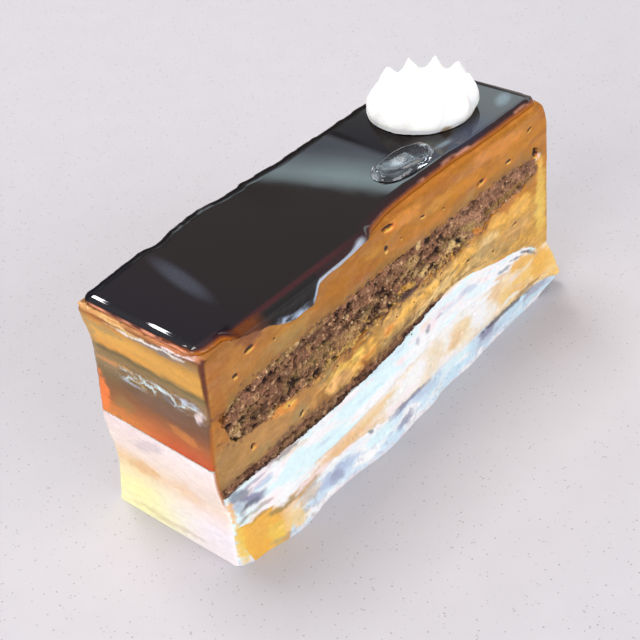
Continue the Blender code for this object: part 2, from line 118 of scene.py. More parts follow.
ROSETTE_CENTRE = (33.2, 3.6)
ROSETTE_LEAN = (1.2, -1.2)
ROSETTE_FLUTES = 10
ROSETTE_FIRST_CREST = math.radians(21)
ROSETTE_TWIST = math.radians(16)
ROSETTE_RINGS = ((10.9, 0.0, 0.1, 0.0), (11.3, 1.2, 0.2, 0.0), (10.7, 2.7, 0.6, 0.2),
                 (9.2, 4.0, 1.1, 1.1), (7.6, 4.7, 1.2, 2.4), (6.0, 5.1, 0.9, 1.3),
                 (4.2, 6.0, 0.6, 0.6), (2.4, 7.1, 0.3, 0.2), (0.9, 7.8, 0.1, 0.0),
                 (0.0, 8.0, 0.0, 0.0))
ROSETTE_HEIGHT = 8.0

DROP_CENTRE = (14.7, -6.3)
DROP_HALF_AXES = (7.3, 4.3)
DROP_SQUEEZE = 0.06
DROP_SQUEEZE_TURN = 0.6
DROP_POINT = 0.05
DROP_POINT_TURN = 0.5

# ---------------------------------------------------------------- how finely things are made

FINE = 0.32
SPONGE_STEP = 0.25
HOLE_STEP = 0.14
COARSE = 3.0
WELD = 1e-3
RELIEF_LIMIT = 1.6


def rgb(red, green, blue):
    """A colour from its usual 0 to 255 numbers, made linear."""
    parts = np.array([red, green, blue]) / 255
    return np.where(parts <= 0.04045, parts / 12.92, ((parts + 0.055) / 1.055) ** 2.4)


# ---------------------------------------------------------------- noise


def hashed(cell, salt):
    """A repeatable number from 0 to 1 for each row of three whole numbers."""
    a, b, c = np.moveaxis(cell.astype(np.int64).astype(np.uint64), -1, 0)
    low = np.uint64(0xFFFFFFFF)
    n = (a * np.uint64(73856093)) ^ (b * np.uint64(19349663)) ^ (c * np.uint64(83492791))
    n = (n ^ np.uint64(salt * 2654435761)) & low
    n = ((n ^ (n >> np.uint64(15))) * np.uint64(2246822519)) & low
    n = ((n ^ (n >> np.uint64(13))) * np.uint64(3266489917)) & low
    return ((n ^ (n >> np.uint64(16))) & np.uint64(0xFFFFFF)).astype(float) / 0xFFFFFF


def noise(points, size, salt=0):
    """Smooth random values from -1 to 1, in lumps `size` millimetres across."""
    placed = np.asarray(points, float) / size
    base = np.floor(placed)
    part = placed - base
    part = part * part * (3 - 2 * part)
    total = np.zeros(len(placed))
    for corner in itertools.product((0, 1), repeat=3):
        weight = np.where(corner, part, 1 - part).prod(axis=1)
        total += weight * hashed(base + corner, salt)
    return 2 * total - 1


def layered_noise(points, size, salt=0, octaves=3):
    """Noise with finer noise on top, each half as wide and half as strong."""
    size = np.asarray(size, float)
    parts = [noise(points, size / 2 ** k, salt + k) / 2 ** k for k in range(octaves)]
    return sum(parts) / (2 - 2 ** (1 - octaves))


def scattered(points, size, salt=0):
    """The distance, in cells, to the nearest of many scattered seeds, and that seed's number."""
    placed = np.asarray(points, float) / size
    base = np.floor(placed)
    best = np.full(len(placed), 9.0)
    number = np.zeros(len(placed))
    for offset in itertools.product((-1, 0, 1), repeat=3):
        cell = base + offset
        seed = cell + np.stack([hashed(cell, salt + k) for k in range(3)], axis=1)
        distance = np.linalg.norm(placed - seed, axis=1)
        closer = distance < best
        best = np.where(closer, distance, best)
        number = np.where(closer, hashed(cell, salt + 3), number)
    return best, number


def step_between(value, low, high):
    """0 up to low and 1 from high, with a smooth rise between. Low may be the larger."""
    t = np.clip((value - low) / (high - low), 0, 1)
    return t * t * (3 - 2 * t)


# ---------------------------------------------------------------- shape rules, on arrays


def curve(knots, x):
    """The smooth curve through (x, height) knots, level at its tops, bottoms and ends."""
    places, heights = np.array(knots, float).T
    spans = np.diff(places)
    rates = np.diff(heights) / spans
    product = rates[:-1] * rates[1:]
    total = np.where(product > 0, rates[:-1] + rates[1:], 1.0)
    slopes = np.zeros(len(places))
    slopes[1:-1] = np.where(product > 0, 2 * product / total, 0.0)
    x = np.clip(x, places[0], places[-1])
    i = np.clip(np.searchsorted(places, x, side="right") - 1, 0, len(spans) - 1)
    t = (x - places[i]) / spans[i]
    start = (1 + 2 * t) * (1 - t) ** 2 * heights[i] + t * (1 - t) ** 2 * spans[i] * slopes[i]
    end = t * t * (3 - 2 * t) * heights[i + 1] + t * t * (t - 1) * spans[i] * slopes[i + 1]
    return start + end


def far_shift(x, side):
    """How far the skew of the far face moves a point along X; side is -1 in front."""
    fade = np.maximum(0, 1 - (HALF_LENGTH - x) / END_FADE)
    return fade * (FAR_SHIFT - FAR_SKEW * (1 + side) / 2)


def sagged(points):
    """Moves points of the square-cut slice to where they lie in the soft one."""
    x, y, z = points.T
    over_x = np.abs(x) - (HALF_LENGTH - CORNER)
    over_y = np.abs(y) - (HALF_WIDTH - CORNER)
    corner = (over_x > 0) & (over_y > 0)
    reach = np.where(corner, np.hypot(over_x, over_y), 1)
    pull = np.where(corner, np.maximum(over_x, over_y) / reach, 1)
    x = np.where(corner, np.sign(x) * (HALF_LENGTH - CORNER + over_x * pull), x)
    y = np.where(corner, np.sign(y) * (HALF_WIDTH - CORNER + over_y * pull), y)
    side = y / HALF_WIDTH
    near = np.maximum(0, 1 - (x + HALF_LENGTH) / END_FADE)
    flare = np.maximum(0, (x - FLARE_START) / (HALF_LENGTH - FLARE_START)) ** 2
    low = np.maximum(0, 1 - z / SAG_HEIGHT) ** SAG_POWER
    y = y + side * low * np.where(y < 0, curve(FRONT_SAG, x), curve(BACK_SAG, x))
    moved = x + near * (curve(NEAR_SHIFT, z) + side * curve(NEAR_SKEW, z)) + far_shift(x, side)
    flare = flare * curve(FLARE_SHARE, z)
    moved = moved + flare * FLARE * (FLARE_MIDDLE - FLARE_ACROSS * side)
    y = y + flare * FLARE_OUT * side
    return np.stack([moved, y, z], axis=1)


# ---------------------------------------------------------------- outlines of the layers


def spread(start, end, step=FINE):
    """Evenly spaced numbers from start to end, about a step apart."""
    return np.linspace(start, end, max(2, int(abs(end - start) / step) + 1))


def line(*corners, step=FINE):
    """Points along straight lines through the corners, as rows of x and z."""
    parts = [np.array(corners[:1], float)]
    for first, last in zip(np.array(corners[:-1], float), np.array(corners[1:], float)):
        count = max(1, int(np.linalg.norm(last - first) / step))
        parts.append(first + (last - first) * np.arange(1, count + 1)[:, None] / count)
    return np.concatenate(parts)


def bent(*corners, step=FINE):
    """Points along one smooth curve through the corners."""
    knots = np.array([corners[0], *corners, corners[-1]], float)
    parts = [knots[1:2]]
    for a, b, c, d in zip(knots, knots[1:], knots[2:], knots[3:]):
        count = max(1, int(np.linalg.norm(c - b) / step))
        t = np.arange(1, count + 1)[:, None] / count
        parts.append(0.5 * (2 * b + (c - a) * t + (2 * a - 5 * b + 4 * c - d) * t ** 2
                            + (3 * b - a - 3 * c + d) * t ** 3))
    return np.concatenate(parts)


def joined(*parts):
    """One path from several, dropping points that repeat or crowd."""
    path = np.concatenate(parts)
    kept = [path[0]]
    for point in path[1:]:
        if np.hypot(*(point - kept[-1])) > 0.02:
            kept.append(point)
    if np.hypot(*(kept[0] - kept[-1])) < 0.02:
        kept.pop()
    return np.array(kept)


def frayed(path, size, amount, salt, fade=1.5):
    """Makes a path ragged, except close to its two ends."""
    flat = np.column_stack([path, np.zeros(len(path))])
    along = np.concatenate([[0], np.cumsum(np.linalg.norm(np.diff(path, axis=0), axis=1))])
    inner = np.minimum(along, along[-1] - along) / fade
    shift = np.stack([layered_noise(flat, size, salt + 7 * k) for k in range(2)], axis=1)
    return path + shift * amount * step_between(inner, 0, 1)[:, None]


def nose(x, height):
    """Closes the upper cream to its round far tip."""
    t = np.clip((x - LAYERS_FAR) / NOSE_LENGTH, 0, 1)
    return NOSE_HEIGHT + (height - NOSE_HEIGHT) * np.sqrt(1 - t ** 2)


def cream_top(x):
    return nose(x, curve(CREAM_TOP, x) + HALF_GAP)


def ripple_top(x):
    return nose(x, curve(RIPPLE_TOP, x) + HALF_GAP)


def base_top(x):
    return cream_top(x) + curve(BASE_THICKNESS, x) + 2 * HALF_GAP


def along(height, start, end, step=FINE):
    x = spread(start, end, step)
    return np.column_stack([x, height(x)])


def to_tip(height, start):
    """A layer's top from start to the round tip, closer together where it turns down."""
    turn = np.radians(np.linspace(0, 90, 15))[1:]
    x = np.concatenate([spread(start, LAYERS_FAR), LAYERS_FAR + NOSE_LENGTH * np.sin(turn)])
    return np.column_stack([x, height(x)])


def ragged_seams():
    """The lines where two layers meet on the cut faces. Both layers use the same points."""
    seams = {}
    seams["slab"] = bent((-46.75, 0), (-48.15, 4.0), (-49.05, 8.5))
    ripple = joined(bent((-49.05, 8.5), (-48.2, 8.75), (-46.5, 8.55), (-45, ripple_top(-45.0))),
                    to_tip(ripple_top, -45.0))
    seams["ripple_top"] = frayed(ripple, 5.0, 0.45, 11)
    under = joined(bent((-38.85, 0), (-37.6, 1.4), (-36.5, 2.9), (-34.5, 4.9), (-32.0, 5.85)),
                   along(lambda x: curve(RIPPLE_BOTTOM, x) - HALF_GAP, -32.0, 43.0),
                   bent((43.0, 4.75), (46.4, 4.5), (48.25, 3.8), (49.05, 3.0)))
    seams["ripple_bottom"] = frayed(under, 4.0, 0.55, 23)
    seams["cream_top"] = frayed(to_tip(cream_top, SEAM_NEAR), 2.4, 0.32, 37)
    split = int(np.searchsorted(seams["cream_top"][:, 0], BASE_FAR))
    seams["under_base"] = seams["cream_top"][:split]
    seams["past_base"] = seams["cream_top"][split - 1:]
    over = along(base_top, SEAM_NEAR, BASE_FAR - 0.4)
    over[:, 1] -= 0.35 * step_between(over[:, 0], 6, 13)
    over = joined(over, seams["under_base"][-1:])
    seams["base_top"] = frayed(over, 1.5, 0.45, 41)
    seams["lip"] = line((-49.15, LIP_HEIGHT), (-49.1, 20.0))
    seams["base_end"] = bent((-49.1, 20.0), (-49.0, 19.6), seams["base_top"][0])
    seams["lip_foot"] = bent((-49.1, 20.0), (-49.05, 18.0), (-48.9, 17.4), seams["cream_top"][0])
    seams["ledge"] = line((NOSE_TIP, NOSE_HEIGHT), (HALF_LENGTH, NOSE_HEIGHT))
    return seams


def insert_loop():
    """The ragged outline of the cocoa sponge inside the mousse."""
    near, far = INSERT_ENDS
    bottom = along(lambda x: curve(INSERT_BOTTOM, x) - HALF_GAP, -45.0, 44.6, SPONGE_STEP)
    top = along(lambda x: curve(INSERT_TOP, x) + HALF_GAP, 44.6, -46.6, SPONGE_STEP)
    far_end = bent(bottom[-1], (far - 0.5, 33.6), (far, 34.8), (far - 0.4, 36.4), top[0],
                   step=SPONGE_STEP)
    near_end = bent(top[-1], (near + 0.4, 35.3), (near + 0.5, 34.0), (near + 1.9, 30.4), bottom[0],
                    step=SPONGE_STEP)
    loop = joined(bottom, far_end, top, near_end)
    flat = np.column_stack([loop, np.zeros(len(loop))])
    coarse = np.stack([layered_noise(flat, 3.4, 51 + 9 * k) for k in range(2)], axis=1)
    small = np.stack([layered_noise(flat, 1.1, 71 + 9 * k, 2) for k in range(2)], axis=1)
    lower = step_between(loop[:, 1], 34.5, 31.5)[:, None]
    return loop + coarse * (0.25 + 0.55 * lower) + small * (0.34 + 0.2 * lower)


def layer_loops(seams, insert):
    """Each layer's outline, anticlockwise from the front, and the holes through it."""
    half = HALF_LENGTH
    rim_turn = np.radians(np.linspace(0, 90, 9))
    rim = np.column_stack([half - RIM_ROUND * (1 - np.cos(rim_turn)),
                           RIM_TOP - RIM_SHOULDER * (1 - np.sin(rim_turn))])
    upper = joined(line((-half, 0), (-46.75, 0)), seams["slab"], seams["ripple_top"],
                   seams["cream_top"][::-1], seams["lip_foot"][::-1], seams["lip"][::-1],
                   line((-49.15, LIP_HEIGHT), (-half, LIP_HEIGHT), (-half, 0)))
    ripple = joined(line((-46.75, 0), (-38.85, 0)), seams["ripple_bottom"],
                    line((49.05, 3.0), (half, 2.8), (half, NOSE_HEIGHT)),
                    seams["ledge"][::-1], seams["ripple_top"][::-1], seams["slab"][::-1])
    lower = joined(line((-38.85, 0), (46.4, 0)),
                   bent((46.4, 0), (47.7, 0.8), (48.6, 1.8), (49.05, 3.0)),
                   seams["ripple_bottom"][::-1])
    base = joined(seams["under_base"], seams["base_top"][::-1], seams["base_end"][::-1],
                  seams["lip_foot"])
    mousse = joined(line((-half, LIP_HEIGHT), (-49.15, LIP_HEIGHT)), seams["lip"],
                    seams["base_end"], seams["base_top"], seams["past_base"], seams["ledge"],
                    line((half, NOSE_HEIGHT), (half, RIM_TOP - RIM_SHOULDER)), rim,
                    line((GLAZE_FAR + 0.25, RIM_TOP), (GLAZE_FAR + 0.15, OVER), (-49.4, OVER)),
                    bent((-49.4, OVER), (-49.8, OVER - 0.2), (-half, OVER - 0.7)),
                    line((-half, OVER - 0.7), (-half, LIP_HEIGHT)))
    return {"cream_upper": (upper, ()), "caramel_ripple": (ripple, ()),
            "cream_lower": (lower, ()), "base_sponge": (base, ()),
            "chocolate_sponge": (insert, ()), "caramel_mousse": (mousse, (insert,))}


# ---------------------------------------------------------------- filling outlines with mesh


def inside(points, loop):
    """Which points lie within a closed outline."""
    start = loop
    end = np.roll(loop, -1, axis=0)
    rise = end[:, 1] - start[:, 1]
    rise = np.where(rise == 0, 1e-12, rise)
    found = np.zeros(len(points), bool)
    for first in range(0, len(points), 4000):
        x, z = points[first:first + 4000].T[:, :, None]
        spans = (start[:, 1] > z) != (end[:, 1] > z)
        crossing = start[:, 0] + (z - start[:, 1]) * (end[:, 0] - start[:, 0]) / rise
        found[first:first + 4000] = (spans & (x < crossing)).sum(axis=1) % 2 == 1
    return found


def lattice(low, high, step, salt):
    """Jittered points of a triangular grid over a rectangle."""
    rows = np.arange(low[1], high[1], step * 0.866)
    columns = np.arange(low[0], high[0], step)
    x, z = np.meshgrid(columns, rows)
    x = x + (np.arange(len(rows))[:, None] % 2) * step / 2
    grid = np.column_stack([x.ravel(), z.ravel()])
    cells = np.column_stack([np.arange(len(grid)), np.zeros((len(grid), 2))])
    jitter = np.stack([hashed(cells, salt + k) for k in range(2)], axis=1) - 0.5
    return grid + jitter * step * 0.35


def clear_of(points, others, distance):
    """The points that keep a distance from all the others."""
    tree = KDTree(len(others))
    for i, (x, z) in enumerate(others):
        tree.insert((x, z, 0), i)
    tree.balance()
    return np.array([p for p in points if tree.find((p[0], p[1], 0))[2] > distance]).reshape(-1, 2)


def loop_edges(count, first=0):
    return [(first + i, first + (i + 1) % count) for i in range(count)]


def triangulated(points, edges):
    """Triangles inside the edges, as numbers of the points, all anticlockwise."""
    made = delaunay_2d_cdt([Vector(p) for p in points], edges, [], 1, 1e-6)
    source = np.array([ids[0] if ids else -1 for ids in made[3]])
    triangles = source[np.array([face for face in made[2] if len(face) == 3])]
    triangles = triangles[(triangles >= 0).all(axis=1)]
    a, b, c = (points[triangles[:, k]] for k in range(3))
    turned = np.cross(b - a, c - a) < 0
    triangles[turned] = triangles[turned][:, ::-1]
    return triangles


def cap(loop, holes, step, fine_spots, salt):
    """A filled outline: its points and triangles, with small triangles at the fine spots."""
    low, high = loop.min(axis=0), loop.max(axis=0)
    grid = lattice(low, high, step, salt)
    grid = grid[inside(grid, loop)]
    for hole in holes:
        grid = grid[~inside(grid, hole)]
    detail = [grid[:0]]
    for x, z, reach_x, reach_z in fine_spots:
        near = ((grid[:, 0] - x) / reach_x) ** 2 + ((grid[:, 1] - z) / reach_z) ** 2
        if not (near < 1).any():
            continue
        grid = grid[near >= 1]
        spot = lattice((x - reach_x, z - reach_z), (x + reach_x, z + reach_z), HOLE_STEP, salt)
        spot = spot[((spot[:, 0] - x) / reach_x) ** 2 + ((spot[:, 1] - z) / reach_z) ** 2 < 0.97]
        spot = spot[inside(spot, loop)]
        for hole in holes:
            spot = spot[~inside(spot, hole)]
        detail.append(spot)
    edge = np.concatenate([loop, *holes])
    inner = clear_of(np.concatenate([grid, *detail]), edge, 0.4 * step)
    points = np.concatenate([edge, inner])
    edges = loop_edges(len(loop))
    first = len(loop)
    for hole in holes:
        edges += loop_edges(len(hole), first)
        first += len(hole)
    triangles = triangulated(points, edges)
    centres = points[triangles].mean(axis=1)
    kept = inside(centres, loop)
    for hole in holes:
        box = ((centres > hole.min(axis=0)) & (centres < hole.max(axis=0))).all(axis=1)
        box[box] = inside(centres[box], hole)
        kept &= ~box
    return points, triangles[kept]


def seen(x, y, z):
    """Whether a point between the two long faces lies where it can be seen."""
    ends = (np.abs(x) > HALF_LENGTH - 0.6) | (x > 49.0)
    top = (z > OVER - 0.1) & ((np.abs(y) > 11.5) | (x > 47.8))
    return ends | top


def wrap(loop, step, salt, outward=True):
    """The surface between the two long faces: points in three dimensions, and triangles."""
    closed = np.concatenate([loop, loop[:1]])
    lengths = np.concatenate([[0], np.cumsum(np.linalg.norm(np.diff(closed, axis=0), axis=1))])
    total = lengths[-1]
    across = spread(-HALF_WIDTH, HALF_WIDTH, step)

    def place(s, y):
        x = np.interp(s, lengths, closed[:, 0])
        z = np.interp(s, lengths, closed[:, 1])
        return np.column_stack([x, y, z])

    fine = lattice((0.2, -HALF_WIDTH), (total - 0.2, HALF_WIDTH), step, salt)
    spots = place(*fine.T)
    fine = fine[seen(*spots.T)]
    coarse = lattice((1.0, -HALF_WIDTH + 1), (total - 1.0, HALF_WIDTH - 1), COARSE, salt + 3)
    spots = place(*coarse.T)
    coarse = coarse[~seen(*spots.T)]
    seam_seen = bool(seen(closed[:1, 0], np.zeros(1), closed[:1, 1])[0])
    rows = across if seam_seen else spread(-HALF_WIDTH, HALF_WIDTH, COARSE)
    front = np.column_stack([lengths, np.full(len(lengths), -HALF_WIDTH)])
    right = np.column_stack([np.full(len(rows) - 2, total), rows[1:-1]])
    back = np.column_stack([lengths[::-1], np.full(len(lengths), HALF_WIDTH)])
    left = np.column_stack([np.zeros(len(rows) - 2), rows[1:-1][::-1]])
    border = np.concatenate([front, right, back, left])
    inner = np.concatenate([fine, coarse])
    inner = clear_of(inner, border, 0.4 * step)
    flat = np.concatenate([border, inner])
    triangles = triangulated(flat, loop_edges(len(border)))
    points = place(flat[:, 0] % total, flat[:, 1])
    return points, (triangles[:, ::-1] if outward else triangles)


def layer_shape(loop, holes, step, fine_spots, salt):
    """A closed layer in square-cut form: points, triangles and which of them can be seen."""
    sheet, filled = cap(loop, holes, step, fine_spots, salt)
    front = np.column_stack([sheet[:, 0], np.full(len(sheet), -HALF_WIDTH), sheet[:, 1]])
    back = front * (1, -1, 1)
    groups = [(front, filled, True), (back, filled[:, ::-1], True)]
    around, strips = wrap(loop, step, salt + 11)
    groups.append((around, strips, None))
    for hole in holes:
        around, strips = wrap(hole, step, salt + 23, outward=False)
        groups.append((around, strips, False))
    points, triangles, shown, first = [], [], [], 0
    for part, faces, flag in groups:
        if flag is None:
            flags = seen(*part[faces].mean(axis=1).T)
        else:
            flags = np.full(len(faces), flag)
        points.append(part)
        triangles.append(faces + first)
        shown.append(flags)
        first += len(part)
    points, triangles = np.concatenate(points), np.concatenate(triangles)
    _, keep, index = np.unique(np.round(points / WELD).astype(np.int64), axis=0,
                               return_index=True, return_inverse=True)
    triangles = index.reshape(-1)[triangles]
    whole = (triangles != np.roll(triangles, 1, axis=1)).all(axis=1)
    return points[keep], triangles[whole], np.concatenate(shown)[whole]


def normals_of(points, triangles):
    """Smooth normals at the points, from the given triangles only."""
    a, b, c = (points[triangles[:, k]] for k in range(3))
    faces = np.cross(b - a, c - a)
    total = np.zeros_like(points)
    for k in range(3):
        for axis in range(3):
            total[:, axis] += np.bincount(triangles[:, k], faces[:, axis], len(points))
    size = np.linalg.norm(total, axis=1, keepdims=True)
    return total / np.where(size > 0, size, 1)


def mesh_object(name, points, triangles, attributes, finish, sharp=40):
    """A mesh object from millimetre points, with its attributes, material and shading."""
    mesh = bpy.data.meshes.new(name)
    mesh.vertices.add(len(points))
    mesh.vertices.foreach_set("co", (np.asarray(points) * MM).astype(np.float32).ravel())
    mesh.loops.add(triangles.size)
    mesh.loops.foreach_set("vertex_index", triangles.astype(np.int32).ravel())
    mesh.polygons.add(len(triangles))
    mesh.polygons.foreach_set("loop_start", np.arange(0, triangles.size, 3, dtype=np.int32))
    mesh.update(calc_edges=True)
    mesh.validate()
    for label, values in attributes.items():
        if np.ndim(values) == 2:
            made = mesh.attributes.new(label, "FLOAT_COLOR", "POINT")
            full = np.column_stack([np.clip(values, 0, 1), np.ones(len(values))])
            made.data.foreach_set("color", full.astype(np.float32).ravel())
        else:
            made = mesh.attributes.new(label, "FLOAT", "POINT")
            made.data.foreach_set("value", np.asarray(values, np.float32))
    mesh.materials.append(finish)
    mesh.shade_smooth()
    mesh.set_sharp_from_angle(angle=math.radians(sharp))
    made = bpy.data.objects.new(name, mesh)
    bpy.context.scene.collection.objects.link(made)
    return made


def settle(piece, node):
    """Makes a piece stand for a CAD node: puts it under the root and hides the node."""
    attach(piece, "root")
    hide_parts(node)


# ---------------------------------------------------------------- relief of the cut faces

# Air holes in the mousse on the long face: x, z, half length, half height, tilt, depth
AIR_HOLES = ((-39.2, 44.3, 1.2, 0.42, 4, 0.9), (-43.0, 41.0, 0.55, 0.45, 0, 0.7),
             (-41.2, 23.8, 0.55, 0.5, 20, 0.7), (-1.1, 47.1, 1.5, 0.5, -4, 1.1),
             (-2.0, 43.0, 0.45, 0.7, 15, 0.6), (9.1, 43.8, 0.8, 0.3, -8, 0.6),
             (27.6, 41.4, 1.3, 0.45, 6, 1.0), (36.8, 41.2, 0.9, 0.35, 0, 0.5),
             (45.3, 38.3, 0.8, 1.2, 10, 1.0), (38.6, 25.1, 0.9, 0.3, 0, 0.5),
             (22.5, 25.5, 0.5, 0.3, 0, 0.5), (31.0, 22.8, 0.35, 0.35, 0, 0.45),
             (-28.6, 22.2, 0.8, 0.4, 30, 0.5), (2.6, 42.6, 0.3, 0.25, 0, 0.4),
             (15.5, 42.0, 0.35, 0.2, 0, 0.4), (-33.0, 42.3, 0.3, 0.25, 0, 0.35),
             (43.6, 44.8, 0.6, 0.3, 25, 0.4))


def ellipse(points, x, z, reach_x, reach_z, tilt=0.0):
    """The distance from the middle of a tilted ellipse, 1 on its edge, on the long face."""
    turn = math.radians(tilt)
    across, up = points[:, 0] - x, points[:, 2] - z
    along_it = across * math.cos(turn) + up * math.sin(turn)
    over_it = up * math.cos(turn) - across * math.sin(turn)
    return np.hypot(along_it / reach_x, over_it / reach_z)


def on_front(points):
    return points[:, 1] < -HALF_WIDTH + 0.01


def on_near(points):
    """Points of the near face, with the rounded edge along its top."""
    x, _, z = points.T
    return (x < -HALF_LENGTH + 0.01) | ((x < -48.7) & (z > OVER - 0.75))


def from_corner(points):
    """The distance of a point from the upright edge between the near and the long face."""
    away_x = np.where(on_front(points), points[:, 0] + HALF_LENGTH, 99)
    away_y = np.where(on_near(points), points[:, 1] + HALF_WIDTH, 99)
    return np.minimum(away_x, away_y)


def hole_relief(points):
    """How deep the air holes cut at each point."""
    depth = np.zeros(len(points))
    wobble = 0.22 * noise(points, 0.6, 91)
    for x, z, reach_x, reach_z, tilt, deep in AIR_HOLES:
        away = ellipse(points, x, z, reach_x, reach_z, tilt) + wobble
        deepest = 1.1 * deep * min(reach_x, reach_z)
        depth = np.maximum(depth, deepest * np.clip(1 - away ** 2, 0, 1) ** 0.6)
    return np.where(on_front(points), depth, 0)


def random_holes(points, salt):
    """A few small air holes, on every face but the long one, whose holes are listed in AIR_HOLES."""
    away, number = scattered(points, (7.0, 7.0, 5.0), salt)
    size = 0.06 + 0.05 * number
    depth = 0.9 * np.clip(1 - (away / size) ** 2, 0, 1) ** 0.6
    return np.where(on_front(points) | (number < 0.35), 0, depth)


def mousse_relief(points):
    """The cut mousse: long drag marks, a soft swell and air holes."""
    drag = 0.05 * layered_noise(points, (9.0, 3.0, 0.9), 5) + 0.03 * noise(points, (2.2, 1, 0.5), 8)
    swell = 0.10 * layered_noise(points, 5.0, 13)
    depth = 0.12 + drag + swell + hole_relief(points) + random_holes(points, 17)
    film = on_near(points)
    soft = 0.24 + 0.05 * layered_noise(points, (1, 6.0, 2.5), 19) - 0.22 * crinkles(points)
    depth = np.where(film, soft, depth)
    x, y, z = points.T
    shoulder = np.clip((z - 46.9) / 1.5, 0, 1)
    rounding = 0.7 * (1 - np.sqrt(1 - shoulder ** 2 * 0.97))
    front = curve(GLAZE_FRONT, x)
    ledge = np.clip((front - y) / (front + HALF_WIDTH), 0, 1) ** 2
    depth = np.where((z > OVER - 0.05) & (x < 47.8), 0.02 + 0.6 * ledge, depth + rounding)
    return np.where(film | ((x > -43) & (x < -9) & (z > 44)), np.minimum(depth, 0.35), depth)


def far_corner(points):
    """How far each point moves where the two top corners of the far end are rounded."""
    x, y, z = points.T
    radius = (0.5 + 2.4 * step_between(z, 42, 48)) * step_between(x, 44.5, 47.5)
    middle = np.column_stack([HALF_LENGTH - radius, HALF_WIDTH - radius, RIM_TOP - radius])
    beyond = np.maximum(0, np.column_stack([x, np.abs(y), z]) - middle)
    length = np.linalg.norm(beyond, axis=1)
    cut_off = np.clip(1 - radius / np.maximum(length, 1e-6), 0, 1) * (radius > 0)
    return -beyond * cut_off[:, None] * np.column_stack([np.ones(len(x)), np.sign(y), np.ones(len(x))])


def crinkles(points):
    """Folds in the thin film over the near face, 1 on their ridges."""
    band = np.exp(-((points[:, 2] - 36.2) / 1.9) ** 2)
    band = band * step_between(points[:, 1], 9.5, 6.0) * step_between(points[:, 1], -14.6, -12.0)
    folds = layered_noise(points, (1, 3.4, 1.0), 29, 3)
    return band * np.clip(1 - np.abs(folds) * 4.0, -0.3, 1)


def sponge_relief(points):
    """Open crumb: pores between torn lumps. Returns how deep each point is, and how much painted shade its pore
    gets.
    """
    warped = points + 0.8 * np.stack([noise(points, 1.1, 101 + k) for k in range(3)], 1)
    large, number = scattered(warped, (2.0, 1.8, 1.3), 103)
    small, chance = scattered(warped, (0.9, 0.9, 0.7), 107)
    torn = layered_noise(warped, (1.3, 1.1, 0.8), 109, 4)
    pore = np.clip(1 - (large / (0.16 + 0.34 * number)) ** 2, 0, 1)
    grain = np.clip(1 - (small / (0.2 + 0.4 * chance)) ** 2, 0, 1)
    rough = step_between(torn, 0.1, -0.5)
    depth = 0.10 + 0.34 * pore + 0.24 * grain + 0.5 * rough + 0.18 * layered_noise(points, 1.8, 113)
    return np.maximum(0, depth), np.clip(0.6 * pore + 0.45 * grain + 0.9 * rough, 0, 1)


def cream_relief(points):
    """Spread cream: broad strokes along the slice and small dents."""
    stroke = 0.14 * layered_noise(points, (8.0, 4.0, 1.6), 131)
    dents, number = scattered(points, (3.2, 3.2, 1.6), 137)
    dent = 0.30 * np.clip(1 - (dents / 0.34) ** 2, 0, 1) * (number > 0.55)
    return 0.16 + stroke + dent


RELIEFS = {"caramel_mousse": mousse_relief, "cream_upper": cream_relief,
           "cream_lower": cream_relief, "caramel_ripple": cream_relief}

# ---------------------------------------------------------------- colours of the cut faces

AMBER_NEAR = rgb(198, 132, 54)
AMBER = rgb(194, 123, 24)
AMBER_DEEP = rgb(168, 98, 30)
AMBER_FAR = rgb(210, 134, 16)
ORANGE = rgb(236, 150, 58)
HOT_ORANGE = rgb(248, 128, 50)
RED_ORANGE = rgb(238, 92, 34)
YELLOW = rgb(238, 200, 92)
YELLOW_ORANGE = rgb(240, 182, 80)
PALE_YELLOW = rgb(255, 246, 190)
STRAW = rgb(240, 206, 140)
TAN = rgb(190, 146, 92)
SAND = rgb(228, 172, 106)
HONEY = rgb(250, 204, 112)
OLIVE = rgb(152, 118, 62)
KHAKI = rgb(168, 140, 84)
BROWN = rgb(112, 76, 46)
GREY_BROWN = rgb(122, 86, 64)
COCOA = rgb(112, 76, 54)
COCOA_DARK = rgb(34, 21, 18)
COCOA_RED = rgb(147, 104, 78)
CRUMB_LIGHT = rgb(222, 184, 138)
COCOA_PALE = rgb(176, 132, 104)
COCOA_WET = rgb(66, 40, 34)
WHITE = rgb(252, 252, 252)
ICE = rgb(226, 250, 254)
PINK_WHITE = rgb(255, 236, 238)
PEACH = rgb(236, 190, 132)
BLUE_GREY = rgb(186, 200, 224)
SKY = rgb(206, 232, 248)
VIOLET_GREY = rgb(142, 140, 168)
SLATE = rgb(112, 120, 136)
DARK_LINE = rgb(74, 56, 58)
MOUSSE_DEPTH = 0.80
NEAR_DEPTH = 0.84
RED_BROWN = rgb(96, 44, 26)
PLUM = rgb(62, 30, 34)
PLUM_LIGHT = rgb(86, 42, 46)
RUST = rgb(128, 66, 30)
BLACK = rgb(24, 20, 20)
NAVY = rgb(36, 44, 66)
TEAL = rgb(120, 142, 154)

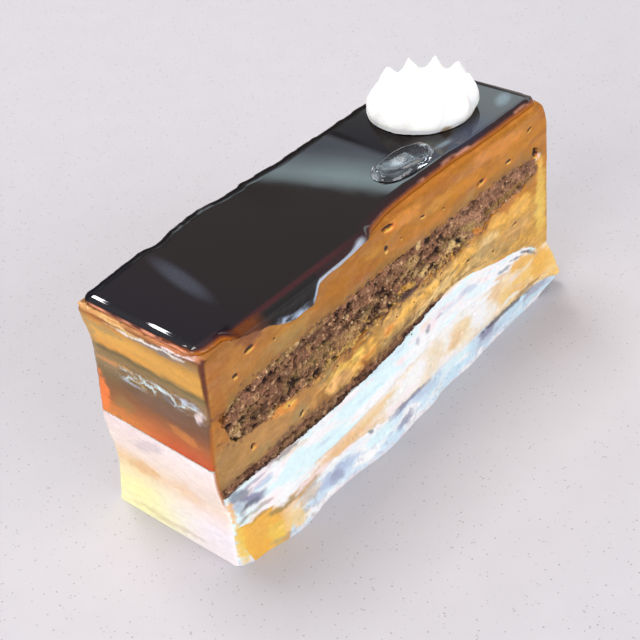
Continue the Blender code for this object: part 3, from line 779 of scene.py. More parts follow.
# Marks on the long face: x, z, half length, half height, tilt, colour, strength
FRONT_MARKS = (
    # mousse above the sponge: drifts of deeper caramel
    # the white mark beside the air hole near the far end is a painted highlight
    (46.4, 36.9, 0.7, 0.9, 0, WHITE, 0.6), (46.6, 35.2, 1.0, 1.6, 0, YELLOW_ORANGE, 0.7),
    (4.0, 46.5, 5.0, 1.6, -8, ORANGE, 0.5), (16.0, 46.8, 6.0, 1.4, -6, AMBER_DEEP, 0.5),
    (-46.0, 46.0, 3.0, 3.0, 0, AMBER_DEEP, 0.35), (-30.0, 40.8, 7.0, 1.6, 0, KHAKI, 0.45),
    (-9.0, 41.0, 2.6, 1.2, -12, AMBER_DEEP, 0.6), (34.0, 46.0, 8.0, 1.8, -6, ORANGE, 0.5),
    (22.0, 43.6, 8.0, 1.6, -4, AMBER_FAR, 0.6), (48.0, 47.0, 2.2, 2.4, 0, AMBER_DEEP, 0.6),
    (-47.6, 38.0, 1.6, 9.0, 0, AMBER_DEEP, 0.55), (-38.4, 46.9, 3.6, 2.2, -16, RUST, 0.8),
    # mousse below the sponge
    (-32.6, 26.0, 3.0, 1.3, -8, ORANGE, 0.8), (-31.4, 26.3, 1.5, 0.5, -12, YELLOW, 0.8),
    (-20.0, 26.7, 2.5, 1.0, 20, OLIVE, 0.6), (-29.0, 22.6, 2.6, 1.6, 10, KHAKI, 0.8),
    (-17.0, 23.0, 5.2, 2.7, -6, YELLOW, 0.8), (-17.4, 22.4, 4.5, 2.1, -6, SAND, 0.95),
    (-21.8, 25.4, 2.6, 0.6, 24, KHAKI, 0.7), (-11.2, 21.0, 1.4, 1.6, 0, AMBER_DEEP, 0.5),
    (-10.6, 24.4, 5.0, 1.9, 8, YELLOW_ORANGE, 0.95), (-12.4, 25.0, 2.2, 1.0, 12, YELLOW, 0.8),
    (-9.6, 22.6, 3.0, 0.8, 4, ORANGE, 0.6), (-2.6, 24.8, 2.2, 1.1, 12, ORANGE, 0.8),
    (-3.4, 22.4, 4.0, 1.0, 6, KHAKI, 0.5), (3.0, 25.8, 4.0, 1.3, 8, YELLOW_ORANGE, 0.8),
    (7.0, 23.0, 5.0, 0.8, 10, STRAW, 0.55), (10.0, 26.0, 4.0, 1.2, 4, YELLOW_ORANGE, 0.8),
    (14.0, 24.4, 5.0, 1.2, 10, STRAW, 0.75), (18.0, 25.6, 6.0, 0.4, 12, BROWN, 0.35),
    (22.0, 27.0, 4.0, 1.4, 6, YELLOW_ORANGE, 0.8), (19.0, 22.8, 6.0, 0.9, 10, STRAW, 0.6),
    (27.0, 24.4, 6.0, 1.6, 0, KHAKI, 0.5), (30.0, 26.6, 3.4, 1.2, 0, STRAW, 0.7),
    (33.0, 29.0, 3.6, 1.8, -14, YELLOW_ORANGE, 0.9), (40.0, 28.4, 4.4, 2.4, -10, YELLOW_ORANGE, 0.9),
    (38.0, 23.5, 6.0, 2.6, 0, TAN, 0.35), (34.0, 21.4, 6.0, 1.6, -10, KHAKI, 0.5),
    (47.2, 26.0, 1.8, 10.0, 0, YELLOW, 0.7), (46.8, 23.0, 1.2, 3.4, 0, YELLOW, 0.5),
    (44.0, 32.4, 2.2, 1.0, 0, OLIVE, 0.5), (2.0, 22.4, 8.0, 0.35, 7, BROWN, 0.6),
    (19.0, 23.0, 5.0, 0.3, 3, BROWN, 0.75), (26.0, 22.4, 3.4, 0.25, -12, BROWN, 0.65),
    (-45.5, 21.0, 3.0, 2.0, 0, TAN, 0.4), (-40.0, 21.4, 3.0, 1.2, 0, KHAKI, 0.5),
    # smears dragged over the sponge, and dark marks that are painted shade in its cavities
    (-13.6, 30.4, 1.5, 0.9, 20, STRAW, 0.6), (-24.5, 34.5, 0.9, 1.4, 30, TAN, 0.6),
    (3.0, 30.6, 2.8, 0.8, -10, YELLOW_ORANGE, 0.6), (8.6, 31.2, 1.8, 0.8, 15, STRAW, 0.6),
    (19.0, 31.8, 3.4, 1.2, -6, STRAW, 0.8), (23.4, 33.0, 3.0, 1.0, -24, KHAKI, 0.8),
    (26.0, 30.6, 2.2, 0.8, -20, ORANGE, 0.6), (7.8, 38.0, 0.9, 0.8, 60, STRAW, 0.7),
    (-22.0, 31.4, 5.0, 1.8, 4, KHAKI, 0.4), (-14.0, 30.6, 5.0, 1.6, 0, TAN, 0.4),
    (-8.0, 32.6, 4.0, 1.2, 10, KHAKI, 0.4), (-24.0, 36.4, 6.0, 0.9, -4, COCOA_DARK, 0.3),
    (-10.2, 33.4, 2.6, 1.0, 0, COCOA_DARK, 0.7), (-29.6, 30.2, 2.4, 1.0, 0, COCOA_DARK, 0.7),
    (20.0, 31.9, 1.8, 0.7, -30, COCOA_DARK, 1.0), (3.6, 29.3, 3.6, 0.9, 0, DARK_LINE, 0.85),
    (-38.0, 30.0, 2.0, 0.9, 10, COCOA_DARK, 0.6), (12.6, 33.0, 1.6, 0.7, -20, COCOA_DARK, 0.6),
    (36.0, 33.4, 8.0, 0.7, 3, OLIVE, 0.8), (30.0, 36.0, 4.0, 1.0, -8, COCOA_RED, 0.5),
    # upper cream
    (-46.0, 15.4, 2.8, 1.5, -30, SLATE, 0.8), (-42.6, 16.2, 3.4, 0.5, 0, VIOLET_GREY, 0.6),
    (-43.4, 12.6, 3.4, 1.6, -16, VIOLET_GREY, 0.95), (-43.8, 12.0, 2.0, 0.7, -10, SLATE, 0.8),
    (-46.0, 12.0, 1.4, 1.0, 30, BROWN, 0.4), (-40.6, 14.4, 2.4, 0.8, 0, BLUE_GREY, 0.7),
    (-47.4, 13.4, 1.0, 3.0, 20, VIOLET_GREY, 0.5), (-48.8, 13.0, 0.7, 3.4, 0, PEACH, 0.9),
    (-46.8, 9.9, 1.6, 0.8, 0, BROWN, 0.6), (-42.0, 10.0, 3.0, 0.5, 0, BROWN, 0.5),
    (-32.0, 15.7, 5.0, 0.5, 0, PEACH, 0.4), (-33.0, 12.0, 8.0, 1.5, 2, ICE, 0.7),
    (-12.0, 14.0, 9.0, 1.5, 3, ICE, 0.6), (-18.0, 16.3, 7.0, 0.5, 3, PINK_WHITE, 0.6),
    (8.8, 17.2, 1.2, 0.9, 20, SLATE, 0.7), (12.6, 17.9, 1.2, 0.3, 8, VIOLET_GREY, 0.6),
    (5.3, 16.2, 0.5, 1.2, 0, VIOLET_GREY, 0.5), (8.0, 19.0, 2.6, 0.6, 15, YELLOW, 0.25),
    (17.0, 20.4, 5.0, 1.0, 0, ICE, 0.7), (25.0, 16.4, 5.0, 1.2, -12, ICE, 0.7),
    (28.0, 17.8, 4.0, 0.5, -18, PINK_WHITE, 0.8), (40.4, 14.2, 4.0, 1.7, -14, YELLOW_ORANGE, 0.95),
    (34.0, 14.6, 3.0, 0.7, -10, PEACH, 0.8), (35.6, 16.8, 4.0, 0.9, -10, WHITE, 0.9),
    # the slate and dark-line marks by the round far tip are painted shade in the hollow under it
    (34.6, 15.9, 2.4, 0.45, -8, SLATE, 0.7), (40.8, 16.6, 3.4, 0.7, -22, WHITE, 0.9),
    (44.2, 14.7, 2.2, 0.7, -50, ICE, 0.9), (45.2, 13.0, 0.7, 1.1, 0, BLUE_GREY, 0.8),
    (-34.0, 16.7, 5.0, 0.55, 0, BROWN, 0.65), (22.6, 18.4, 3.4, 1.0, -10, BLUE_GREY, 0.6),
    (39.0, 16.2, 2.4, 0.3, -14, SLATE, 0.85), (42.4, 15.6, 2.2, 0.35, -34, DARK_LINE, 0.9),
    (44.4, 13.9, 1.5, 0.35, -58, DARK_LINE, 0.85), (40.6, 18.4, 3.4, 0.25, -20, KHAKI, 0.6),
    # ripple
    (-18.6, 8.0, 8.0, 1.0, 4, PEACH, 0.75), (-9.0, 9.6, 7.0, 1.0, 5, STRAW, 0.6),
    (-33.0, 8.6, 7.0, 1.0, 2, WHITE, 0.9), (-26.4, 7.0, 3.4, 0.8, 0, PINK_WHITE, 0.7), (2.0, 9.0, 8.0, 3.0, 10, WHITE, 0.8),
    (-2.0, 7.0, 6.0, 0.8, 4, PINK_WHITE, 0.7), (9.6, 9.4, 4.0, 3.4, 30, STRAW, 0.4),
    (18.6, 10.2, 4.6, 3.6, 20, STRAW, 0.5), (17.0, 9.4, 2.6, 2.0, 30, PEACH, 0.55),
    (25.6, 10.4, 3.4, 3.4, 30, WHITE, 0.85), (22.0, 13.2, 8.0, 0.9, -3, WHITE, 0.8),
    (31.6, 11.6, 2.6, 2.2, -30, PEACH, 0.6), (35.0, 9.0, 3.4, 2.2, -20, HONEY, 0.7),
    (38.6, 11.4, 2.6, 0.9, -30, PINK_WHITE, 0.6), (40.4, 9.8, 2.8, 1.2, -20, HONEY, 0.8), (40.0, 8.0, 4.0, 1.4, -20, YELLOW_ORANGE, 0.6),
    (36.6, 6.9, 3.0, 0.6, 0, WHITE, 0.6), (46.4, 10.0, 2.8, 5.0, 0, YELLOW_ORANGE, 0.9),
    (-12.4, 6.4, 0.8, 0.5, 0, SLATE, 0.8), (43.0, 5.7, 5.0, 0.5, 0, BROWN, 0.6),
    (-44.6, 5.0, 4.4, 4.0, 0, YELLOW_ORANGE, 0.95), (-48.6, 5.0, 1.1, 5.0, 0, YELLOW, 0.9),
    (-40.6, 2.4, 2.0, 2.6, -20, YELLOW, 0.9), (-37.0, 6.9, 4.6, 1.0, 0, KHAKI, 0.9),
    (-31.0, 6.2, 4.0, 0.9, 0, TAN, 0.6), (-34.6, 4.4, 3.0, 1.0, 10, WHITE, 0.7),
    (-33.0, 8.5, 7.6, 0.9, 2, WHITE, 0.9), (-32.0, 7.2, 3.0, 0.5, 4, PINK_WHITE, 0.7),
    (-37.6, 7.4, 1.6, 0.7, 0, WHITE, 0.6), (-43.0, 8.2, 3.0, 0.4, 0, BROWN, 0.4),
    # lower cream: its blue-grey, violet-grey, slate and sky marks are painted shade, and the dark lines a painted
    # shadow under the ripple
    (-36.0, 3.0, 3.0, 2.4, 0, STRAW, 0.85), (-31.0, 4.4, 3.6, 1.5, 0, TAN, 0.5),
    (-22.5, 3.6, 6.5, 1.6, 3, BLUE_GREY, 0.95), (-23.0, 3.0, 2.2, 1.4, 0, VIOLET_GREY, 0.5),
    (0.0, 5.4, 7.5, 0.6, 2, VIOLET_GREY, 0.9), (30.0, 2.6, 8.0, 1.3, 0, VIOLET_GREY, 0.3),
    (18.0, 18.4, 5.0, 1.0, 0, BLUE_GREY, 0.3), (-2.0, 2.4, 3.0, 0.9, 4, VIOLET_GREY, 0.75), (-10.0, 4.0, 5.0, 1.4, 0, ICE, 0.7),
    (5.0, 4.4, 4.0, 1.0, 0, BLUE_GREY, 0.6), (16.0, 4.4, 5.2, 1.2, 0, ICE, 0.9),
    (28.4, 4.0, 3.6, 1.3, 0, VIOLET_GREY, 0.85), (-4.0, 5.9, 3.0, 0.3, 3, DARK_LINE, 0.45),
    (35.0, 4.8, 9.5, 0.8, -1, DARK_LINE, 0.8), (36.0, 3.0, 6.0, 1.0, 0, SKY, 0.8),
    (45.0, 3.4, 3.0, 1.2, 0, VIOLET_GREY, 0.7), (-40.0, 0.6, 3.0, 0.6, 0, SLATE, 0.4),
)

# Colours up the near face: height, colour towards the back, colour towards the long face
NEAR_BANDS = (
    (0.0, (255, 250, 196), (250, 240, 240)), (6.0, (255, 250, 186), (252, 242, 250)),
    (9.0, (255, 240, 192), (255, 238, 236)), (12.5, (250, 214, 166), (255, 230, 214)),
    (17.0, (255, 234, 222), (255, 234, 222)), (24.3, (246, 228, 228), (255, 240, 240)),
    (24.6, (240, 142, 56), (222, 84, 26)), (26.2, (226, 134, 54), (214, 100, 36)),
    (28.5, (176, 102, 44), (186, 104, 46)), (31.5, (142, 96, 50), (134, 84, 50)),
    (34.0, (132, 106, 58), (120, 84, 56)), (37.0, (160, 124, 56), (158, 118, 66)),
    (39.0, (150, 118, 50), (150, 122, 60)), (39.8, (104, 90, 36), (118, 100, 44)),
    (41.0, (250, 174, 58), (240, 176, 70)), (44.0, (255, 190, 70), (240, 176, 72)),
    (46.5, (228, 156, 54), (176, 132, 64)), (47.6, (160, 92, 50), (130, 84, 56)),
    (48.3, (240, 180, 110), (220, 140, 90)))

# Marks on the near face: y, z, half width, half height, tilt, colour, strength
NEAR_MARKS = (
    # the white, pink-white, ice, blue-grey and slate marks are painted reflections and highlights on the film; the
    # violet-grey mark is painted shade
    (-4.0, 47.5, 9.0, 0.22, -2, BROWN, 0.8), (3.0, 47.15, 6.0, 0.2, -3, STRAW, 0.7),
    (-3.0, 46.9, 8.5, 0.32, -1, WHITE, 0.8), (-4.0, 46.2, 8.0, 0.4, 0, SLATE, 0.6),
    (5.0, 47.9, 5.0, 0.3, 6, STRAW, 0.7), (-9.0, 48.0, 4.0, 0.25, -4, PINK_WHITE, 0.8),
    (-3.4, 36.8, 2.4, 0.5, 12, ICE, 0.7), (-9.4, 37.0, 2.4, 0.5, -4, BLUE_GREY, 0.7),
    (4.6, 34.3, 3.4, 0.35, 2, BLUE_GREY, 0.7), (-4.5, 35.2, 3.0, 0.5, 20, SLATE, 0.5),
    (3.5, 36.0, 3.0, 0.6, 30, KHAKI, 0.6),
    (-12.4, 35.0, 1.2, 1.6, 20, PINK_WHITE, 0.7), (-2.0, 32.6, 9.0, 1.6, 0, GREY_BROWN, 0.7),
    (5.5, 33.0, 3.0, 0.8, 0, BROWN, 0.7), (8.0, 28.6, 3.0, 1.6, 0, OLIVE, 0.6),
    (13.4, 29.0, 1.4, 4.4, 0, HOT_ORANGE, 0.9), (-8.0, 29.0, 4.0, 1.0, 10, ORANGE, 0.4),
    (9.0, 45.4, 4.6, 1.0, 4, KHAKI, 0.6), (10.0, 37.0, 5.0, 0.5, -3, ORANGE, 0.5), (13.6, 43.0, 1.2, 5.0, 0, KHAKI, 0.6),
    (3.0, 21.0, 5.0, 1.6, -25, VIOLET_GREY, 0.28), (7.0, 12.6, 4.5, 1.8, -10, PEACH, 0.7),
    (-5.0, 13.0, 4.0, 3.0, 30, PEACH, 0.3), (2.0, 1.6, 10.0, 0.6, 0, KHAKI, 0.25),
)


def mixed(first, second, share):
    """One colour or row of colours turned by a share into another."""
    share = np.clip(np.asarray(share, float), 0, 1).reshape(-1, 1)
    return first * (1 - share) + second * share


def marked(colours, flat, marks, where):
    """Paints soft, ragged marks onto colours. Flat holds each point's place on its face."""
    warp = np.column_stack([layered_noise(flat, (2.0, 2.0, 1.0), 201 + k) for k in range(2)])
    fray = 0.45 * layered_noise(flat, (1.2, 1.2, 0.6), 211)
    moved = flat.copy()
    moved[:, 0] += 1.2 * warp[:, 0]
    moved[:, 2] += 0.6 * warp[:, 1]
    for x, z, reach_x, reach_z, tilt, colour, strength in marks:
        close = where & (np.abs(moved[:, 2] - z) < 1.6 * (reach_x + reach_z))
        close &= np.abs(moved[:, 0] - x) < 1.6 * (reach_x + reach_z)
        rows = np.nonzero(close)[0]
        if not len(rows):
            continue
        away = ellipse(moved[rows], x, z, reach_x, reach_z, tilt) + fray[rows]
        share = strength * step_between(away, 1.25, 0.55)
        colours[rows] = mixed(colours[rows], colour, share)
    return colours


def specks(points, away, reach, salt):
    """How strongly one layer is dragged into another, this far from the seam between them."""
    rough = 0.6 * layered_noise(points, (1.3, 1.3, 0.9), salt) + 0.4 * noise(points, 0.5, salt + 5)
    limit = 0.7 * np.clip(away / reach, -1, 2) - 0.12
    return step_between(rough, limit, limit + 0.12) * (np.abs(away) < 1.3 * reach)


def streaks(points, size, salt):
    """Noise drawn out along drag marks that climb a little towards the far end."""
    x, y, z = points.T
    turned = np.column_stack([x + 0.2 * z, y, z - 0.2 * x])
    return layered_noise(turned, size, salt)


def torn_zone(x):
    """Where along the slice the cocoa sponge is torn into the mousse below it."""
    return step_between(x, -30, -20) * step_between(x, 32, 22)


def mousse_colour(points):
    """Caramel, browner near the sponge and at the near end, yellower low down at the far end."""
    x, y, z = points.T
    streak = streaks(points, (12.0, 5.0, 1.6), 221)
    thin = streaks(points, (4.0, 2.0, 0.8), 225)
    cloud = layered_noise(points, (7.0, 6.0, 4.0), 223)
    fine = layered_noise(points, (0.9, 0.9, 0.6), 227)
    end = step_between(x, 46.0, 49.0)
    low = step_between(z + 7.0 * end * (cloud + streak), 30 + 6.0 * end, 27 - 7.0 * end)
    colour = mixed(AMBER, AMBER_FAR, step_between(x, -20, 40))
    colour = mixed(colour, AMBER_NEAR, step_between(x, -25, -40))
    colour = mixed(colour, AMBER_DEEP, 0.4 * step_between(streak, -0.1, 0.5))
    colour = mixed(colour, ORANGE, 0.5 * step_between(cloud, 0.0, 0.5) * step_between(x, -20, 10))
    colour = mixed(colour, YELLOW_ORANGE, 0.3 * step_between(cloud, -0.1, -0.5))
    colour = mixed(colour, BROWN, 0.14 * step_between(thin, -0.1, -0.5))
    colour = mixed(colour, SAND, 0.55 * low * step_between(x, -10, -34))
    colour = mixed(colour, KHAKI, 0.2 * low * step_between(x, -10, -40))
    colour = mixed(colour, OLIVE, 0.35 * low * step_between(x, -42, -46))
    colour = mixed(colour, YELLOW_ORANGE, low * 0.85 * step_between(x, -16, 24))
    colour = mixed(colour, OLIVE, 0.35 * low * step_between(thin, 0.05, 0.5))
    torn = torn_zone(x) * low
    colour = mixed(colour, STRAW, 0.4 * low * step_between(x, -12, -2) * step_between(x, 36, 26))
    colour = mixed(colour, YELLOW_ORANGE, 0.7 * torn * step_between(streak, 0.05, 0.35))
    colour = mixed(colour, BROWN, 0.45 * torn * step_between(thin, -0.15, -0.5))
    over = z - curve(INSERT_TOP, x) - HALF_GAP
    below = curve(INSERT_BOTTOM, x) - HALF_GAP - z
    base = np.where(x < BASE_FAR, z - base_top(x), 99)
    middle = (over < 0) & (below < 0)
    over, below = np.where(middle | (over < -1), 9, over), np.where(middle | (below < -1), 9, below)
    colour = mixed(colour, OLIVE, 0.6 * step_between(over + cloud, 3.4, 0.2) * (1 - end))
    colour = mixed(colour, BROWN, 0.5 * step_between(base, 2.6, 0.2))
    colour = mixed(colour, COCOA, 0.8 * specks(points, over, 1.0, 261) * (1 - end))
    colour = mixed(colour, COCOA, 0.8 * specks(points, below, 1.1 + 1.2 * torn_zone(x), 271) * (1 - end))
    spread_out = 1.8 + 2.2 * np.exp(-((x + 29) / 6) ** 2)
    colour = mixed(colour, COCOA, 0.8 * specks(points, base, spread_out, 281))
    colour = mixed(colour, BROWN, 0.5 * step_between(z, 46.6, 48.4) * step_between(x, -30, -44))
    colour = mixed(colour, AMBER_DEEP, 0.5 * step_between(z, 47.2, 48.4))
    return MOUSSE_DEPTH * colour * (1 + 0.10 * fine[:, None])


def crumbled(colours, points):
    """Rough light and dark grain over the painted mousse, strongest under the sponge."""
    x, _, z = points.T
    drift = 0.9 * np.stack([noise(points, 1.9, 225 + k) for k in range(3)], axis=1)
    grit = np.clip(2.4 * streaks(points + drift, (1.5, 1.1, 0.8), 229), -1, 1)
    under = step_between(z, 30, 28) * step_between(x, 47, 43)
    strength = 0.05 + under * (0.03 + 0.23 * np.maximum(torn_zone(x), 0.5 * step_between(x, 20, 30)))
    bright = colours * (1 + (strength * grit)[:, None])
    return mixed(bright, STRAW, 0.8 * strength * step_between(grit, 0.5, 1.0))


def hole_colour(colours, points):
    """Air holes: painted shade in the hollow, a painted highlight on the pale lip under it and a painted orange
    glow round both.
    """
    front = on_front(points)
    for x, z, reach_x, reach_z, tilt, deep in AIR_HOLES:
        rows = np.nonzero(front & (np.hypot(points[:, 0] - x, points[:, 2] - z) < 3.2 * reach_x))[0]
        spot = points[rows]
        glow = ellipse(spot, x + 0.4 * reach_x, z - 1.2 * reach_z, 1.5 * reach_x, 2.0 * reach_z, tilt)
        lip = ellipse(spot, x + 0.2 * reach_x, z - 1.35 * reach_z, 0.95 * reach_x, 0.55 * reach_z, tilt)
        hollow = ellipse(spot, x, z + 0.05 * reach_z, 1.05 * reach_x, 0.9 * reach_z, tilt)
        shown = mixed(colours[rows], HOT_ORANGE, 0.6 * deep * step_between(glow, 1, 0.4))
        shown = mixed(shown, YELLOW, 0.85 * step_between(lip, 1.2, 0.6))
        hollow = step_between(hollow + 0.25 * noise(spot, 0.5, 92), 1.1, 0.8)
        colours[rows] = mixed(shown, COCOA_DARK, 0.95 * hollow)
    return colours


def near_colour(points):
    """The bands of the near face, drawn out across it, with painted reflections and shade on the film's folds."""
    _, y, z = points.T
    wander = layered_noise(points, (1, 6.0, 2.5), 291)
    fine = layered_noise(points, (1, 1.6, 0.6), 293)
    level = z + 0.7 * wander + 0.25 * fine
    level = np.where(z < LIP_HEIGHT, np.minimum(level, 24.3), np.maximum(level, 24.6))
    side = step_between(y + 2.0 * wander, 9, -9)
    heights = np.array([band[0] for band in NEAR_BANDS])
    tints = np.array([[rgb(*band[1]), rgb(*band[2])] for band in NEAR_BANDS])
    shades = [np.stack([np.interp(level, heights, tints[:, k, c]) for c in range(3)], axis=1)
              for k in range(2)]
    colour = mixed(shades[0], shades[1], side) * (1 + 0.08 * fine[:, None])
    # painted reflections: pale ice on the ridges of the film's folds; painted shade: brown in their troughs
    colour = mixed(colour, ICE, 0.85 * step_between(crinkles(points), 0.34, 0.8))
    colour = mixed(colour, BROWN, 0.5 * step_between(crinkles(points), 0.05, -0.25))
    return colour * np.where(z < LIP_HEIGHT, 1.0, NEAR_DEPTH)[:, None]


def sponge_colour(points, pore_shade):
    """Cocoa crumb: each torn lump has its own brown, paler on its torn edges, with painted shade in its pores."""
    x, _, z = points.T
    lump, number = scattered(points + 0.3 * noise(points, 0.8, 229)[:, None], 0.8, 231)
    tiny = layered_noise(points, 0.55, 235, 2)
    cloud = layered_noise(points, (5.0, 4.0, 2.0), 233)
    patch = layered_noise(points, (2.6, 2.0, 1.5), 237)
    far = step_between(x, 14, 30)
    colour = mixed(COCOA, COCOA_RED, np.clip(0.1 + number + 0.6 * patch, 0, 1))
    colour = mixed(colour, KHAKI, 0.6 * step_between(cloud, 0.0, 0.5) * (1 - far))
    pale = step_between(tiny, 0.05, 0.4) * step_between(number, 0.5, 0.8) * (1 - 0.6 * far)
    colour = mixed(colour, CRUMB_LIGHT, 0.8 * pale)
    paled = far * (1 - 0.6 * step_between(x, 24, 31))
    colour = mixed(colour, COCOA_PALE, paled * (0.45 + 0.5 * step_between(patch, -0.3, 0.4)))
    inward = z - curve(INSERT_BOTTOM, x)
    smear_and_reflection = specks(points, inward, 5.6, 296) * torn_zone(x) * (inward > -1)
    colour = mixed(colour, mixed(KHAKI, YELLOW_ORANGE, 0.7 * number), 0.75 * smear_and_reflection)
    shade = 1 + 0.57 * patch + 0.14 * step_between(cloud, -0.6, 0.6) + 0.10 * (x < -36) + 0.08 * paled
    colour = colour * shade[:, None]
    # painted shade: the pores turn dark brown where the relief sinks them, less so at the far end
    return mixed(colour, COCOA_DARK, (0.95 - 0.45 * far) * step_between(pore_shade, 0.2, 0.8))


def cream_colour(points):
    """White cream with cold shadows and faint pink."""
    cold = layered_noise(points, (8.0, 5.0, 2.0), 241)
    warm = layered_noise(points, (5.0, 5.0, 2.5), 243)
    fine = layered_noise(points, (1.0, 1.0, 0.6), 247)
    colour = mixed(WHITE, ICE, step_between(cold, -0.2, 0.3))
    colour = mixed(colour, PINK_WHITE, 0.8 * step_between(warm, 0.05, 0.45))
    colour = mixed(colour, BLUE_GREY, 0.5 * step_between(cold, 0.4, 0.8))
    low = step_between(points[:, 2], 7.0, 4.5)
    foot_near = step_between(points[:, 0], -26, -34) * step_between(points[:, 2], 9.0, 7.5)
    colour = mixed(colour, KHAKI, 0.6 * foot_near * step_between(fine, 0.0, 0.35))
    colour = mixed(colour, SKY, 0.8 * low * step_between(cold + warm, -0.6, 0.1))
    colour = mixed(colour, VIOLET_GREY, 0.3 * low * step_between(fine, 0.1, 0.5))
    foot = step_between(points[:, 2], 1.2, 0.3) * step_between(noise(points, 0.7, 245), -0.2, 0.3)
    return mixed(colour, PINK_WHITE * 0.8, 0.6 * foot) * (1 + 0.05 * fine[:, None])


def ripple_colour(points):
    """Caramel thinned with cream: amber at both ends, pale in the middle."""
    x = points[:, 0]
    cloud = layered_noise(points, (5.0, 4.0, 2.0), 251)
    fine = layered_noise(points, (1.2, 1.0, 0.7), 253)
    colour = mixed(mixed(PEACH, WHITE, 0.3), mixed(STRAW, WHITE, 0.5), step_between(x, -14, 4))
    colour = mixed(colour, WHITE, 0.7 * step_between(cloud, -0.4, 0.4) * step_between(x, -20, 0))
    honey = step_between(x, 26, 46) * step_between(cloud, 0.7, -0.3)
    colour = mixed(colour, HONEY, np.maximum(honey, 0.85 * step_between(x, 47, 50)))
    colour = mixed(colour, YELLOW_ORANGE, step_between(x, -36, -40))
    colour = mixed(colour, ORANGE, 0.5 * step_between(cloud, 0.2, 0.7) * step_between(x, 38, 48))
    return colour * (1 + 0.07 * fine[:, None])


def layer_colours(name, points, pore_shade):
    """The colour of every point of a layer, with the marks of the faces it shows on."""
    if name in ("chocolate_sponge", "base_sponge"):
        colours = sponge_colour(points, pore_shade)
        if name == "base_sponge":
            over = points[:, 2] - curve(CREAM_TOP, points[:, 0]) + 0.8 * noise(points, 1.6, 239)
            colours = mixed(colours, COCOA_WET, 0.3 + 0.6 * step_between(over, 1.4, 0.4))
            colours = mixed(colours, COCOA_RED, 0.35 * step_between(over, 1.0, 1.8))
    elif name == "caramel_mousse":
        colours = mousse_colour(points)
    elif name == "caramel_ripple":
        colours = ripple_colour(points)
    else:
        colours = cream_colour(points)
        lip = on_front(points) & (points[:, 0] < -48.4) & (points[:, 2] > 17.2)
        colours = np.where(lip[:, None], mousse_colour(points), colours)
    near = on_near(points)
    colours = marked(colours, points, FRONT_MARKS, on_front(points) & ~near)
    if name == "caramel_mousse":
        colours = hole_colour(crumbled(colours, points), points)
    colours[near] = near_colour(points[near])
    colours = marked(colours, points[:, [1, 0, 2]], NEAR_MARKS, near)
    z = points[:, 2]
    edge = step_between(from_corner(points), 0.8, 0.25)
    wide = step_between(from_corner(points) + 0.4 * noise(points, 2.2, 243), 1.2, 0.5)
    colours = mixed(colours, RED_BROWN, 0.9 * wide * step_between(z, 38, 42))
    colours = mixed(colours, RED_BROWN, 0.85 * edge * step_between(z, 31, 41))
    return mixed(colours, AMBER_DEEP, 0.8 * edge * step_between(z, 14, 17) * (z < 34))


# ---------------------------------------------------------------- materials


class Nodes:
    """A material's node tree, with short calls to add nodes and join them."""

    def __init__(self, name):
        self.material = bpy.data.materials.new(name)
        self.material.use_nodes = True
        self.tree = self.material.node_tree
        self.shader = self.tree.nodes["Principled BSDF"]
        self.place = self.add("ShaderNodeTexCoord").outputs["Object"]

    def add(self, kind, inputs=(), **settings):
        node = self.tree.nodes.new(kind)
        for key, value in settings.items():
            setattr(node, key, value)
        for key, value in dict(inputs).items():
            if isinstance(value, bpy.types.NodeSocket):
                self.tree.links.new(value, node.inputs[key])
            else:
                node.inputs[key].default_value = value
        return node

    def set(self, **values):
        """Sets or links the shader's inputs, whose names have _ for spaces."""
        for key, value in values.items():
            socket = self.shader.inputs[key.replace("_", " ")]
            if isinstance(value, bpy.types.NodeSocket):
                self.tree.links.new(value, socket)
            else:
                socket.default_value = value

    def value(self, name):
        return self.add("ShaderNodeAttribute", attribute_name=name).outputs["Fac"]

    def colour(self, name):
        return self.add("ShaderNodeAttribute", attribute_name=name).outputs["Color"]

    def noise(self, size, detail=3.0, stretch=(1, 1, 1), rough=0.55):
        """Noise in lumps `size` millimetres across."""
        scaled = self.add("ShaderNodeMapping", {"Vector": self.place, "Scale": stretch})
        return self.add("ShaderNodeTexNoise", {"Vector": scaled.outputs[0], "Detail": detail,
                                               "Scale": 1 / (size * MM), "Roughness": rough}
                        ).outputs["Fac"]

    def cells(self, size):
        return self.add("ShaderNodeTexVoronoi", {"Vector": self.place,
                                                 "Scale": 1 / (size * MM)}).outputs["Distance"]

    def ranged(self, value, low, high, to_low, to_high):
        """Maps a value from one range to another, and stops at the ends."""
        return self.add("ShaderNodeMapRange", {"Value": value, "From Min": low, "From Max": high,
                                               "To Min": to_low, "To Max": to_high}
                        ).outputs["Result"]

    def maths(self, operation, first, second):
        return self.add("ShaderNodeMath", {0: first, 1: second}, operation=operation).outputs[0]

    def blend(self, first, second, share, kind="MIX"):
        node = self.add("ShaderNodeMix", data_type="RGBA", blend_type=kind)
        for index, value in ((0, share), (6, first), (7, second)):
            if isinstance(value, bpy.types.NodeSocket):
                self.tree.links.new(value, node.inputs[index])
            else:
                node.inputs[index].default_value = value
        return node.outputs[2]

    def scaled(self, colour, factor):
        """A colour made lighter or darker by a factor."""
        return self.add("ShaderNodeVectorMath", {0: colour, 1: self.add(
            "ShaderNodeCombineXYZ", {0: factor, 1: factor, 2: factor}).outputs[0]},
            operation="MULTIPLY").outputs[0]

    def bumped(self, height, depth, strength=1.0):
        """A normal from a height between 0 and 1, depth millimetres deep."""
        return self.add("ShaderNodeBump", {"Height": height, "Distance": depth * MM,
                                           "Strength": strength}).outputs["Normal"]


